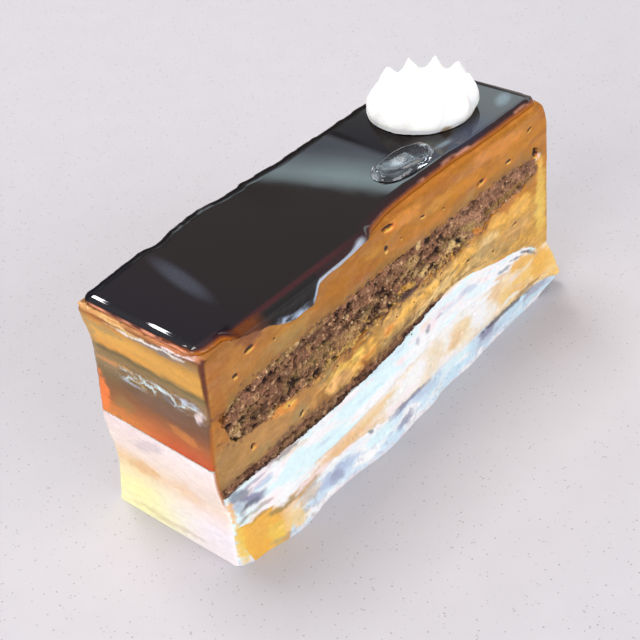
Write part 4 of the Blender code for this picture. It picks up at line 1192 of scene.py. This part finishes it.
def food_material(name, mottle, grain, depth, rough, wet_rough, scatter, radius):
    """Soft food: painted colour with fine mottling, a fine bump, and wet and dry patches."""
    nodes = Nodes(name)
    fine = nodes.noise(grain, 4.0)
    broad = nodes.noise(grain * 5, 2.0, (1, 1, 2.2))
    shade = nodes.maths("ADD", nodes.ranged(fine, 0.25, 0.75, 1 - mottle, 1 + mottle),
                        nodes.ranged(broad, 0.3, 0.7, -mottle / 2, mottle / 2))
    nodes.set(Base_Color=nodes.scaled(nodes.colour("tint"), shade),
              Roughness=nodes.maths("ADD", nodes.ranged(nodes.value("wet"), 0, 1, rough, wet_rough),
                                    nodes.ranged(fine, 0.3, 0.7, -0.06, 0.06)),
              Normal=nodes.bumped(nodes.maths("ADD", fine, nodes.maths("MULTIPLY", broad, 0.8)),
                                  depth),
              Coat_Weight=nodes.maths("MULTIPLY", nodes.value("wet"), 0.8),
              Coat_Roughness=0.10, Specular_IOR_Level=0.25, Subsurface_Weight=scatter,
              Subsurface_Radius=radius, Subsurface_Scale=MM)
    return nodes.material


def sponge_material():
    """Cocoa crumb: dry and matt, with a strong fine grain and painted shade in its hollows."""
    nodes = Nodes("look_cocoa_sponge")
    grain = nodes.cells(0.42)
    fine = nodes.noise(0.22, 5.0, rough=0.7)
    # painted shade: the colour darkens where the cell pattern sinks the bump
    shade = nodes.maths("MULTIPLY", nodes.ranged(grain, 0.0, 0.7, 1.45, 0.75),
                        nodes.ranged(fine, 0.3, 0.7, 0.75, 1.45))
    nodes.set(Base_Color=nodes.scaled(nodes.colour("tint"), shade),
              Roughness=nodes.ranged(nodes.value("wet"), 0, 1, 0.82, 0.35),
              Normal=nodes.bumped(nodes.maths("ADD", nodes.maths("MULTIPLY", grain, -1.0), fine),
                                  0.16),
              Specular_IOR_Level=0.2,
              Coat_Weight=nodes.maths("MULTIPLY", nodes.value("wet"), 0.5),
              Coat_Roughness=0.2)
    return nodes.material


def glaze_material():
    """Mirror glaze: nearly black, reddish where it is thin, and very smooth; its painted colour also holds painted
    reflections and highlights.
    """
    nodes = Nodes("look_dark_glaze")
    ripple = nodes.noise(9.0, 1.0)
    dust = nodes.noise(0.5, 2.0)
    nodes.set(Base_Color=nodes.scaled(nodes.colour("tint"), nodes.ranged(dust, 0.3, 0.7, 0.85, 1.15)),
              Roughness=nodes.ranged(nodes.noise(2.0), 0.3, 0.7, 0.012, 0.03),
              Normal=nodes.bumped(ripple, 0.004),
              Specular_IOR_Level=nodes.value("gloss"))
    return nodes.material


def piped_material():
    """Whipped cream: bright and soft, with fine torn grain on its ridges."""
    nodes = Nodes("look_whipped_cream")
    grain = nodes.noise(0.5, 4.0, rough=0.65)
    nodes.set(Base_Color=nodes.scaled(nodes.colour("tint"), nodes.ranged(grain, 0.2, 0.8, 0.96, 1.03)),
              Roughness=nodes.ranged(grain, 0.3, 0.7, 0.42, 0.6),
              Normal=nodes.bumped(grain, 0.07),
              Subsurface_Weight=0.6, Subsurface_Radius=(1.0, 0.8, 0.6), Subsurface_Scale=1.6 * MM)
    return nodes.material


def gel_material():
    """Clear gel: glassy, a little milky at its rim, and milky too where painted highlights sit."""
    nodes = Nodes("look_clear_gel")
    cloud = nodes.noise(1.8, 1.0)
    nodes.set(Base_Color=nodes.colour("tint"),
              Roughness=nodes.ranged(cloud, 0.3, 0.7, 0.04, 0.12),
              Transmission_Weight=nodes.maths("SUBTRACT", 1.0, nodes.value("milk_and_highlight")),
              IOR=1.40, Normal=nodes.bumped(cloud, 0.03),
              Coat_Weight=0.6, Coat_Roughness=0.03)
    return nodes.material


# ---------------------------------------------------------------- the layers


def wetness(name, points):
    """How glossy each point is: the filmed near face most, torn crumb least."""
    patches = step_between(layered_noise(points, (4.0, 4.0, 2.0), 261), -0.1, 0.5)
    base = {"caramel_mousse": 0.35, "cream_upper": 0.3, "cream_lower": 0.4,
            "caramel_ripple": 0.45}.get(name, 0.05)
    film = 0.25 + 0.65 * np.exp(-((points[:, 2] - 36.3) / 2.0) ** 2)
    return np.where(on_near(points), film, np.clip(base * (0.4 + 1.1 * patches), 0, 1))


def make_layer(name, loop, holes, finish, salt):
    """Builds one layer of the slice as its own piece."""
    sponge = name.endswith("sponge")
    spots = [] if sponge else [(x, z, 1.45 * a + 0.3, 1.45 * b + 0.3)
                               for x, z, a, b, _, _ in AIR_HOLES]
    step = SPONGE_STEP if sponge else FINE
    points, triangles, shown = layer_shape(loop, holes, step, spots, salt)
    placed = sagged(points)
    normals = normals_of(placed, triangles[shown])
    pore_shade = np.zeros(len(points))
    if sponge:
        depth, pore_shade = sponge_relief(points)
    else:
        depth = RELIEFS[name](points)
    grounded = step_between(points[:, 2], 0.0, 1.2)
    depth = np.clip(depth, 0, RELIEF_LIMIT) * (0.3 + 0.7 * grounded)
    placed = placed - normals * depth[:, None]
    if name == "caramel_mousse":
        placed = placed + far_corner(points)
    placed[:, 2] = np.maximum(placed[:, 2], 0)
    attributes = {"tint": layer_colours(name, points, pore_shade), "wet": wetness(name, points)}
    piece = mesh_object("layer_" + name, placed, triangles, attributes, finish)
    settle(piece, name)
    return piece


def make_layers():
    soft = {
        "caramel_mousse": (food_material("look_caramel_mousse", 0.10, 0.45, 0.05, 0.5, 0.16,
                                         0.15, (0.7, 0.35, 0.15)), "caramel_mousse"),
        "cream_upper": (food_material("look_cream_upper", 0.05, 0.7, 0.07, 0.5, 0.2,
                                      0.3, (0.6, 0.55, 0.5)), "cream"),
        "cream_lower": (food_material("look_cream_lower", 0.07, 0.6, 0.08, 0.5, 0.2,
                                      0.3, (0.6, 0.55, 0.5)), "cream"),
        "caramel_ripple": (food_material("look_caramel_ripple", 0.07, 0.6, 0.06, 0.45, 0.15,
                                         0.3, (0.8, 0.45, 0.25)), "caramel_ripple"),
    }
    crumb = sponge_material()
    soft["base_sponge"] = soft["chocolate_sponge"] = (crumb, "cocoa_sponge")
    loops = layer_loops(ragged_seams(), insert_loop())
    for salt, (name, (loop, holes)) in enumerate(loops.items()):
        finish, slot = soft[name]
        make_layer(name, loop, holes, finish, 300 + 40 * salt)


# ---------------------------------------------------------------- the glaze


def ring_mesh(rings, closed_ends=True):
    """Points and triangles of a tube through rings of equal length, with flat ends."""
    count = len(rings[0])
    points = np.concatenate(rings)
    first = np.arange(count)
    second = (first + 1) % count
    triangles = []
    for k in range(len(rings) - 1):
        a, b = k * count, (k + 1) * count
        triangles.append(np.column_stack([a + first, a + second, b + second]))
        triangles.append(np.column_stack([a + first, b + second, b + first]))
    if closed_ends:
        for start, turn in ((0, 1), ((len(rings) - 1) * count, -1)):
            middle = len(points)
            points = np.concatenate([points, points[start:start + count].mean(axis=0)[None]])
            fan = np.column_stack([np.full(count, middle), start + second, start + first])
            triangles.append(fan[:, ::turn])
    return points, np.concatenate(triangles)


def corner_pull(distance):
    inner = GLAZE_CORNER - np.minimum(distance, GLAZE_CORNER)
    return GLAZE_CORNER - np.sqrt(GLAZE_CORNER ** 2 - inner ** 2)


def glaze_top(distance, drop=GLAZE_DROP):
    """The height of the glaze this far in from its rounded edge."""
    inner = 1 - np.clip(distance / GLAZE_ROUND, 0, 1)
    return HEIGHT - drop * (1 - np.sqrt(1 - inner ** 2))


def film_share(x):
    """1 where the glaze ends in a thin film along the long face, 0 where it runs over."""
    return np.maximum(step_between(x, -9, -3), step_between(x, -41.5, -43.5))


def glaze_section(x, steps):
    """One section of the glaze, from the foot of its run over the top to its back edge."""
    end = min(x - GLAZE_NEAR, GLAZE_FAR - x)
    spot = np.array([[x, 0.0, 0.0]])
    loose = float(film_share(x))
    front = float(curve(GLAZE_FRONT, x) + corner_pull(end))
    front -= loose * (0.10 + 0.15 * float(layered_noise(spot, 3.0, 405)[0]))
    back = float(curve(GLAZE_BACK, x) - corner_pull(end))
    back -= 0.25 * float(step_between(layered_noise(spot, 2.6, 411), -0.4, 0.5)[0])
    drop = float(curve(GLAZE_RUN, x))
    run = float(step_between(drop, 0.2, 2.0))
    sag = 0.35 * run * float(noise(spot, 2.3, 415)[0])
    foot = GLAZE_UNDER - 0.05 - max(0.0, drop + sag - 0.35 * run)
    bead = 0.06 + 0.18 * (1 - loose) + 0.16 * run
    edge_drop = GLAZE_DROP + 0.28 * loose
    rim = [float(glaze_top(min(s, end), edge_drop)) for s in steps]
    turn = np.radians(np.linspace(90, 0, 6))
    wall_z = np.linspace(foot + bead, rim[0], 14)[1:-1]
    hollow = 0.25 * bead * np.sin(np.pi * np.linspace(0, 1, len(wall_z))) ** 2
    crown = [(front + 2 + (back - front - 4) * t, float(glaze_top(end)))
             for t in np.linspace(0, 1, 44)[1:-1]]
    fall = [(back - s, float(glaze_top(min(s, end)))) for s in steps[::-1]]
    inner_y = max(front + 0.75, -14.95)
    under = [(back - 0.1, GLAZE_UNDER + 0.05), (back - 0.5, GLAZE_UNDER - 0.05)]
    under += [(back + (inner_y - back) * t, GLAZE_UNDER - 0.05) for t in (0.33, 0.66, 1.0)]
    ring = [(front + bead, foot),
            *zip(front + bead * (1 - np.cos(turn)), foot + bead * (1 - np.sin(turn))),
            *zip(front + hollow, wall_z), *zip(front + steps, rim), *crown, *fall, *under,
            (front + 0.72, foot + bead)]
    rows = np.column_stack([np.full(len(ring), x), np.array(ring, float)])
    rows[:, 0] += far_shift(rows[:, 0], rows[:, 1] / HALF_WIDTH)
    return rows


def glaze_sections():
    """All sections of the glaze, closer together where its two ends round over."""
    steps = GLAZE_ROUND * (1 - np.cos(np.radians(np.linspace(0, 90, 12))))
    ends = GLAZE_ROUND * (1 - np.cos(np.radians(np.linspace(0, 90, 14))))
    places = np.concatenate([GLAZE_NEAR + ends, spread(GLAZE_NEAR + 2.1, GLAZE_FAR - 2.1, 0.3),
                             GLAZE_FAR - ends[::-1]])
    return [glaze_section(x, steps) for x in places]


def make_glaze():
    rings = glaze_sections()
    points, triangles = ring_mesh(rings)
    normals = normals_of(points, triangles)
    swell = 0.03 * layered_noise(points, 3.5, 421) * step_between(points[:, 2], 49.3, 48.9)
    run = step_between(curve(GLAZE_RUN, points[:, 0]), 0.3, 2.0)
    low = step_between(points[:, 2], 48.9, 47.8) * run
    lumps = 0.12 * layered_noise(points, 1.2, 423) * low
    points = points - normals * (0.02 + np.abs(swell) + np.abs(lumps))[:, None]
    x, y, z = points.T
    front = curve(GLAZE_FRONT, x)
    loose = film_share(x) * (y < -5)
    above = z - GLAZE_UNDER + curve(GLAZE_RUN, x)
    thin = step_between(y - front, 2.4, 0.2) * (1 - run)
    # painted reflection: the black turns dark blue towards the near end
    colour = mixed(np.tile(BLACK, (len(points), 1)), rgb(18, 17, 32),
                   0.5 * step_between(x, -30, -48))
    colour = mixed(colour, PLUM, 0.6 * thin)
    # painted highlight: a light plum line just inside the front edge
    edge_line_highlight = step_between(y - front, 2.6, 1.8) * step_between(y - front, 0.7, 1.4) * (y < -5)
    held = step_between(x, -44, -38) * step_between(x, -3, -20)
    colour = mixed(colour, PLUM_LIGHT, 0.5 * edge_line_highlight * held)
    # painted reflection: a soft blue-grey haze near the near end
    smear_and_reflection = ellipse(points[:, [1, 0, 2]] @ np.array([[1, 0, 0], [0, 0, 1], [0, 1, 0]]),
                    3.5, -36.0, 11.0, 2.2, 10)
    colour = mixed(colour, rgb(74, 78, 92), 0.55 * step_between(smear_and_reflection, 1.1, 0.3))
    colour = mixed(colour, RUST, loose * step_between(z, 49.32, 49.0))
    colour = mixed(colour, AMBER_DEEP, loose * step_between(z, 49.1, 48.7))
    brown = step_between(x, -33.0, -39.0) * low
    outer = step_between(y - front, 2.0, 1.3) * (y < -5) * step_between(x, -34.5, -38.5)
    brown = np.maximum(brown, outer * step_between(x, -43.0, -41.0))
    colour = mixed(colour, rgb(104, 56, 26), 0.85 * brown)
    # painted glints: pale salmon spots along the top of the thin film
    edge_glints = step_between(layered_noise(points, (4.0, 2.0, 2.0), 427), 0.0, 0.3) * step_between(x, 10, 15)
    colour = mixed(colour, rgb(200, 140, 116), 0.7 * edge_glints * loose * step_between(z, 49.42, 49.25)
                   * step_between(z, 48.9, 49.05))
    # painted highlights: pale blue beads along the foot of the run
    rim = low * step_between(above, 1.9, 1.0) * step_between(x, -33.5, -31.0)
    bead_highlights = step_between(layered_noise(points, (1.6, 1.6, 0.9), 429), -0.5, 0.25)
    colour = mixed(colour, rgb(176, 196, 222), 0.85 * rim * bead_highlights)
    # painted highlight: a pale line along the lip of the run
    lip = step_between(x, -22.9, -21.9) * step_between(x, -7.5, -10)
    lip = lip * step_between(y - front, 1.3, 0.7)
    colour = mixed(colour, rgb(190, 200, 214), 0.8 * lip * step_between(above, 1.15, 0.75))
    # the near edge is red-brown where the glaze is thin, broken by pale salmon painted glints
    near_edge = step_between(x, GLAZE_NEAR + 0.24, GLAZE_NEAR + 0.06)
    broken = step_between(layered_noise(points, (1, 2.6, 1), 431), -0.3, 0.3)
    colour = mixed(colour, mixed(RED_BROWN, rgb(240, 158, 122), broken), 0.85 * near_edge)
    # painted sheen: the far edge goes grey
    far_edge = step_between(x, GLAZE_FAR - 1.0, GLAZE_FAR - 0.3)
    colour = mixed(colour, rgb(116, 106, 98), 0.6 * far_edge)
    patch = step_between(x, 14.0, 16.2) * step_between(x, 31, 25) * step_between(y, -5.5, -1.5)
    behind = step_between(curve(GLAZE_BACK, x) - y, 2.5, 1.8)
    top = np.column_stack([x, z, y])
    # painted reflections on the top: navy and teal patches by the gel and the rosette, and a darker patch beside
    # the rosette
    for spot, tint, share in (((31.0, -10.0, 9.0, 3.0, 6), NAVY, 0.8), ((44.6, -8.4, 3.4, 1.8, 20), TEAL, 0.5),
                              ((24.5, -8.6, 2.8, 0.8, -8), TEAL, 0.6), ((20.0, 7.0, 5.0, 7.0, 0), BLACK, 0.3)):
        colour = mixed(colour, tint, share * step_between(ellipse(top, *spot), 1.15, 0.3) * (z > 49.1))
    gloss = 0.5 - 0.44 * patch - 0.3 * behind - 0.3 * brown * (z > 48.9) - 0.3 * step_between(z, 49.0, 48.6) * (1 - rim) * (y < -5)
    gloss = gloss - 0.2 * edge_line_highlight * held
    calm = step_between(ellipse(top, 31.0, -10.0, 9.0, 3.0, 6), 1.15, 0.3)
    bend = step_between(x, -45.5, -44.2) * step_between(x, -40.6, -42.0) * (y < -12.5)
    crisp = step_between(x, -27, -25) * step_between(x, -15, -17) * step_between(noise(points, 0.9, 433), -0.1, 0.2)
    dim = step_between(y, 0, 12) * step_between(x, -14, -8) * step_between(x, 18, 14)
    gloss = np.clip(gloss - 0.15 * dim - 0.12 * calm - 0.42 * bend - 0.18 * behind * (1 - 2.2 * crisp), 0.02, 1)
    piece = mesh_object("glaze_coat", points, triangles,
                        {"tint": colour, "gloss": gloss},
                        glaze_material(), sharp=60)
    settle(piece, "glaze")


# ---------------------------------------------------------------- rosette and drop


def make_rosette():
    """A star-piped rosette with sharp twisted flutes."""
    table = np.array(ROSETTE_RINGS)
    knots = np.arange(len(table))
    levels = np.linspace(0, len(table) - 1, 110)
    radius, height, depth, rise = (curve(np.column_stack([knots, table[:, k]]), levels)
                                   for k in range(4))
    around = np.linspace(0, math.tau, 361)[:-1]
    wave = np.abs(np.sin(ROSETTE_FLUTES * around / 2))
    crest = 1 - np.sqrt(wave ** 2 + 0.006) + 0.05
    rings = []
    for r, h, d, up in zip(radius, height, depth, rise):
        climb = h / ROSETTE_HEIGHT
        angle = ROSETTE_FIRST_CREST + around + ROSETTE_TWIST * (climb - 0.5)
        reach = np.maximum(0.25, r + d * crest)
        rings.append(np.column_stack([
            ROSETTE_CENTRE[0] + ROSETTE_LEAN[0] * climb + reach * np.cos(angle),
            ROSETTE_CENTRE[1] + ROSETTE_LEAN[1] * climb + reach * np.sin(angle),
            HEIGHT + 0.02 + h + up * crest]))
    points, triangles = ring_mesh(rings)
    if np.einsum("ij,ij->i", points[triangles[:, 0]],
                 np.cross(points[triangles[:, 1]], points[triangles[:, 2]])).sum() < 0:
        triangles = triangles[:, ::-1]
    normals = normals_of(points, triangles)
    rough = 0.10 * np.abs(layered_noise(points, 0.9, 441)) + 0.10 * np.abs(noise(points, 2.5, 443))
    low = step_between(points[:, 2], 53.0, 50.0)
    rough = rough + 0.35 * low * (0.5 + 0.5 * layered_noise(points, 3.2, 447))
    points = points - normals * (0.03 + rough)[:, None]
    points[:, 2] = np.maximum(points[:, 2], HEIGHT - 0.02)
    # painted shade: the foot turns pale yellow towards the far end, and a dark olive spot sits low on its near
    # front side
    foot = step_between(points[:, 2], 52.0, 50.0) * step_between(points[:, 0], 30, 38)
    colour = mixed(np.tile(rgb(250, 249, 246), (len(points), 1)), rgb(238, 228, 196), 0.5 * foot)
    foot_shade_spot = ellipse(points, 28.6, 49.9, 1.5, 0.9, 0) + 0.3 * noise(points, 0.8, 449)
    colour = mixed(colour, OLIVE, 0.8 * step_between(foot_shade_spot, 1.2, 0.5) * (points[:, 1] < -4))
    piece = mesh_object("piped_rosette", points, triangles, {"tint": colour}, piped_material(),
                        sharp=70)
    settle(piece, "whipped_cream")


def make_drop():
    """The oval drop of gel, with a raised rim and a dented middle, and painted highlights at its rim and centre."""
    profile = ((0.0, 0.0), (0.5, 0.42), (1.0, 0.74), (1.8, 0.86), (3.0, 0.78), (5.0, 0.7), (9.0, 0.7))
    shares = np.concatenate([[0.97, 1.0], 1 - np.linspace(0, 1, 40)[1:] ** 1.1 * 0.995])
    around = np.linspace(0, math.tau, 181)[:-1]
    rings = []
    for k, share in enumerate(shares):
        drawn = 1 + DROP_SQUEEZE * np.cos(2 * around + DROP_SQUEEZE_TURN)
        drawn += DROP_POINT * np.cos(around - DROP_POINT_TURN)
        depth = max(0.0, (1 - share) * 9)
        height = 0.0 if k == 0 else 0.12 + float(curve(profile, depth))
        rings.append(np.column_stack([
            DROP_CENTRE[0] + DROP_HALF_AXES[0] * share * drawn * np.cos(around),
            DROP_CENTRE[1] + DROP_HALF_AXES[1] * share * drawn * np.sin(around),
            np.full(len(around), HEIGHT + 0.03 + height)]))
    points, triangles = ring_mesh(rings)
    if np.einsum("ij,ij->i", points[triangles[:, 0]],
                 np.cross(points[triangles[:, 1]], points[triangles[:, 2]])).sum() < 0:
        triangles = triangles[:, ::-1]
    lift = points[:, 2] > HEIGHT + 0.2
    points[:, :2] += (points[:, :2] - DROP_CENTRE) * 0.12 * layered_noise(points * (1, 1, 0), 3.4, 455)[:, None]
    points[:, 2] += np.where(lift, 0.20 * noise(points, (3.4, 2.4, 2.0), 451) - 0.06, 0)
    points[:, 2] = np.clip(points[:, 2], HEIGHT + 0.02, 50.75)
    x, y = points[:, 0] - DROP_CENTRE[0], points[:, 1] - DROP_CENTRE[1]
    share = np.hypot(x / DROP_HALF_AXES[0], y / DROP_HALF_AXES[1])
    patchy = step_between(layered_noise(points, 2.6, 457), -0.3, 0.5)
    # the pale rim is partly the gel's own milkiness and partly a painted highlight, strongest on the near side; the
    # pale centre is a painted highlight
    rim = step_between(share, 0.84, 0.97) * patchy
    cloud = step_between(noise(points, (2.6, 1.8, 2.0), 453), -0.3, 0.7)
    near_rim_highlight = rim * np.maximum(step_between(x, 1.0, -4.0), step_between(y, -1.0, -3.0))
    centre_highlight = step_between(np.hypot((x + 0.3) / 2.6, (y - 0.4) / 1.5) + 0.5 * cloud, 1.3, 0.5)
    milk_and_highlight = 0.005 + 0.12 * rim + 0.35 * near_rim_highlight + 0.10 * cloud * step_between(share, 0.75, 0.3)
    milk_and_highlight = milk_and_highlight + 0.28 * centre_highlight
    piece = mesh_object("gel_bead", points, triangles,
                        {"tint": mixed(rgb(150, 158, 168)[None], rgb(226, 234, 240)[None],
                                       np.maximum(rim, centre_highlight)), "milk_and_highlight": milk_and_highlight},
                        gel_material(), sharp=80)
    settle(piece, "gel_drop")


# ---------------------------------------------------------------- crumbs


def blob(seed):
    """A small lumpy crumb of unit radius: points and triangles."""
    mesh = bpy.data.meshes.new("crumb_form")
    import bmesh
    bm = bmesh.new()
    bmesh.ops.create_icosphere(bm, subdivisions=2, radius=1)
    bm.to_mesh(mesh)
    bm.free()
    points = np.array([v.co for v in mesh.vertices])
    triangles = np.array([p.vertices for p in mesh.polygons])
    bpy.data.meshes.remove(mesh)
    swell = 1 + 0.38 * layered_noise(points + 5.0 * seed, 0.9, 461)
    return points * swell[:, None] * (1, 0.8, 0.75), triangles


def make_crumbs():
    """Loose crumbs stuck to the cut face round the two sponges."""
    random = np.random.default_rng(12)
    forms = [blob(k) for k in range(6)]
    points, triangles, colours, first = [], [], [], 0
    # where crumbs lie on the long face: x from, x to, z from, z to, how many, colour
    bands = ((-44, 20, 26.0, 29.0, 34, COCOA_RED), (-46, 40, 37.8, 38.8, 40, COCOA_RED),
             (-46, 4, 18.8, 20.0, 40, COCOA), (-45, 40, 29.0, 37.8, 160, COCOA_RED),
             (-45, 40, 29.0, 37.5, 30, CRUMB_LIGHT))
    for low_x, high_x, low_z, high_z, count, tint in bands:
        for _ in range(count):
            x, z = random.uniform(low_x, high_x), random.uniform(low_z, high_z)
            size = random.uniform(0.16, 0.42)
            form, faces = forms[random.integers(len(forms))]
            turn = Matrix.Rotation(random.uniform(0, math.tau), 3, Vector(random.normal(size=3)))
            centre = sagged(np.array([[x, -HALF_WIDTH, z]]))[0]
            centre[1] += 0.25
            points.append(form @ np.array(turn).T * size + centre)
            triangles.append(faces + first)
            colours.append(np.tile(tint * random.uniform(0.7, 1.15), (len(form), 1)))
            first += len(form)
    points, triangles = np.concatenate(points), np.concatenate(triangles)
    piece = mesh_object("crumbs", points, triangles,
                        {"tint": np.concatenate(colours), "wet": np.full(len(points), 0.1)},
                        sponge_material(), sharp=80)
    settle(piece, "chocolate_sponge")


# ---------------------------------------------------------------- floor, light and camera

CAMERA_PLACE = Vector((-0.17732, -0.16817, 0.20605))
CAMERA_FORWARD = Vector((0.56687433, 0.55645559, -0.60746248))
CAMERA_RIGHT = Vector((0.64703433, -0.7571568, -0.08977835))
CAMERA_LENS = 86.92
CAMERA_SENSOR = 36.0
FLOOR_COLOUR = (0.565, 0.545, 0.578)
WORLD_STRENGTH = 1.0


def make_floor():
    side = 2.0
    mesh = bpy.data.meshes.new("floor")
    mesh.from_pydata([(-side, -side, 0), (side, -side, 0), (side, side, 0), (-side, side, 0)],
                     [], [(0, 1, 2, 3)])
    nodes = Nodes("floor_stone")
    mottle = nodes.noise(9.0, 5.0, rough=0.6)
    specks = nodes.cells(1.0)
    sparse = nodes.noise(1.5, 2.0)
    base = nodes.add("ShaderNodeRGB")
    base.outputs[0].default_value = (*(FLOOR_COLOUR), 1)
    size = nodes.ranged(sparse, 0.38, 0.62, 0.0, 0.22)
    dot = nodes.ranged(nodes.maths("DIVIDE", specks, nodes.maths("ADD", size, 0.002)),
                       0.6, 1.1, 0.6, 1.0)
    shade = nodes.maths("MULTIPLY", nodes.ranged(mottle, 0.3, 0.7, 0.985, 1.015), dot)
    nodes.set(Base_Color=nodes.scaled(base.outputs[0], shade), Roughness=0.85)
    mesh.materials.append(nodes.material)
    floor = bpy.data.objects.new("floor", mesh)
    bpy.context.scene.collection.objects.link(floor)


def make_world():
    """Grey surroundings, with a bright low band behind the slice that the glaze mirrors."""
    world = bpy.data.worlds.new("studio")
    bpy.context.scene.world = world
    world.use_nodes = True
    tree = world.node_tree
    place = tree.nodes.new("ShaderNodeTexCoord")
    tilt = tree.nodes.new("ShaderNodeVectorMath")
    tilt.operation = "DOT_PRODUCT"
    tree.links.new(place.outputs["Generated"], tilt.inputs[0])
    tilt.inputs[1].default_value = (-0.098, 0.150, 1.0)
    ramp = tree.nodes.new("ShaderNodeValToRGB")
    tree.links.new(tilt.outputs["Value"], ramp.inputs[0])
    stops = ((0.0, (0.26, 0.26, 0.27)), (0.439, (0.26, 0.26, 0.27)), (0.501, (1.8, 2.1, 2.2)),
             (0.515, (1.7, 1.9, 2.0)), (0.531, (1.1, 1.2, 1.4)), (0.545, (0.85, 0.95, 1.2)),
             (0.555, (2.2, 2.8, 3.0)), (0.561, (2.9, 3.7, 3.9)), (0.565, (0.34, 0.30, 0.30)),
             (0.689, (0.30, 0.27, 0.28)), (0.82, (0.5, 0.5, 0.5)), (1.0, (1.4, 1.4, 1.4)))
    ramp.color_ramp.elements[0].position = stops[0][0]
    ramp.color_ramp.elements[1].position = stops[-1][0]
    for place_on_ramp, _ in stops[1:-1]:
        ramp.color_ramp.elements.new(place_on_ramp)
    for element, (_, colour) in zip(ramp.color_ramp.elements, stops):
        element.color = (*colour, 1)
    behind = tree.nodes.new("ShaderNodeVectorMath")
    behind.operation = "DOT_PRODUCT"
    tree.links.new(place.outputs["Generated"], behind.inputs[0])
    behind.inputs[1].default_value = (0.70, 0.71, 0.0)
    share = tree.nodes.new("ShaderNodeMapRange")
    tree.links.new(behind.outputs["Value"], share.inputs["Value"])
    share.inputs["From Min"].default_value = 0.35
    share.inputs["From Max"].default_value = 0.6
    mix = tree.nodes.new("ShaderNodeMix")
    mix.data_type = "RGBA"
    tree.links.new(share.outputs[0], mix.inputs[0])
    mix.inputs[6].default_value = (0.42, 0.42, 0.43, 1)
    tree.links.new(ramp.outputs[0], mix.inputs[7])
    shine = tree.nodes["Background"]
    tree.links.new(mix.outputs[2], shine.inputs["Color"])
    shine.inputs["Strength"].default_value = WORLD_STRENGTH


GLINT_AWAY = 2.0


def area_light(name, place, target, width, height, power, colour=(1, 1, 1)):
    light = bpy.data.lights.new(name, "AREA")
    light.shape = "RECTANGLE"
    light.size, light.size_y = width, height
    light.energy = power
    light.color = colour
    lamp = bpy.data.objects.new(name, light)
    place, target = Vector(place), Vector(target)
    lamp.location = place
    lamp.rotation_euler = (target - place).to_track_quat("-Z", "Y").to_euler()
    bpy.context.scene.collection.objects.link(lamp)
    return lamp


def mirrored(spot, tilt):
    """The direction that the glaze, tilted towards the near end, mirrors into the camera."""
    ray = (spot - CAMERA_PLACE).normalized()
    normal = Vector((-math.sin(tilt), 0, math.cos(tilt)))
    return ray - 2 * ray.dot(normal) * normal


def glint(name, spot):
    """A thin strip lamp that the rounded edge of the glaze mirrors as one short bright bar."""
    low, high = (mirrored(spot, math.radians(turn)) for turn in (2.0, 9.0))
    way = (low + high).normalized()
    lamp = area_light(name, spot + GLINT_AWAY * way, spot, GLINT_AWAY * (high - low).length,
                      GLINT_AWAY * 0.013, 0.9)
    strip = (high - low).normalized()
    axes = Matrix((strip, way.cross(strip), way)).transposed()
    lamp.matrix_world = Matrix.Translation(lamp.location) @ axes.to_4x4()


def make_lights():
    middle = (0, 0, 0.03)
    area_light("key", (0.03, 0.35, 1.0), middle, 0.44, 0.44, 6.0, (1.0, 0.98, 0.95))
    area_light("near_fill", (-1.42, -0.15, 0.75), middle, 1.05, 0.9, 13.5, (1.0, 0.98, 0.96))
    area_light("front_fill", (0.07, -1.50, 0.67), middle, 1.35, 0.9, 13.7, (0.97, 0.98, 1.0))
    for name, y in (("glint_back", 0.0115), ("glint_front", -0.0042)):
        glint(name, Vector((-0.0482, y, 0.0495)))


def make_camera():
    camera = bpy.data.cameras.new("camera")
    camera.sensor_width = CAMERA_SENSOR
    camera.lens = CAMERA_LENS
    camera.clip_start = 0.01
    holder = bpy.data.objects.new("camera", camera)
    up = CAMERA_RIGHT.cross(CAMERA_FORWARD)
    frame_axes = Matrix((CAMERA_RIGHT, up, -CAMERA_FORWARD)).transposed()
    holder.matrix_world = Matrix.Translation(CAMERA_PLACE) @ frame_axes.to_4x4()
    bpy.context.scene.collection.objects.link(holder)
    bpy.context.scene.camera = holder


def main():
    scene = bpy.context.scene
    scene.view_settings.view_transform = "Standard"
    make_camera()
    make_layers()
    make_glaze()
    make_rosette()
    make_drop()
    make_crumbs()
    make_floor()
    make_world()
    make_lights()


main()
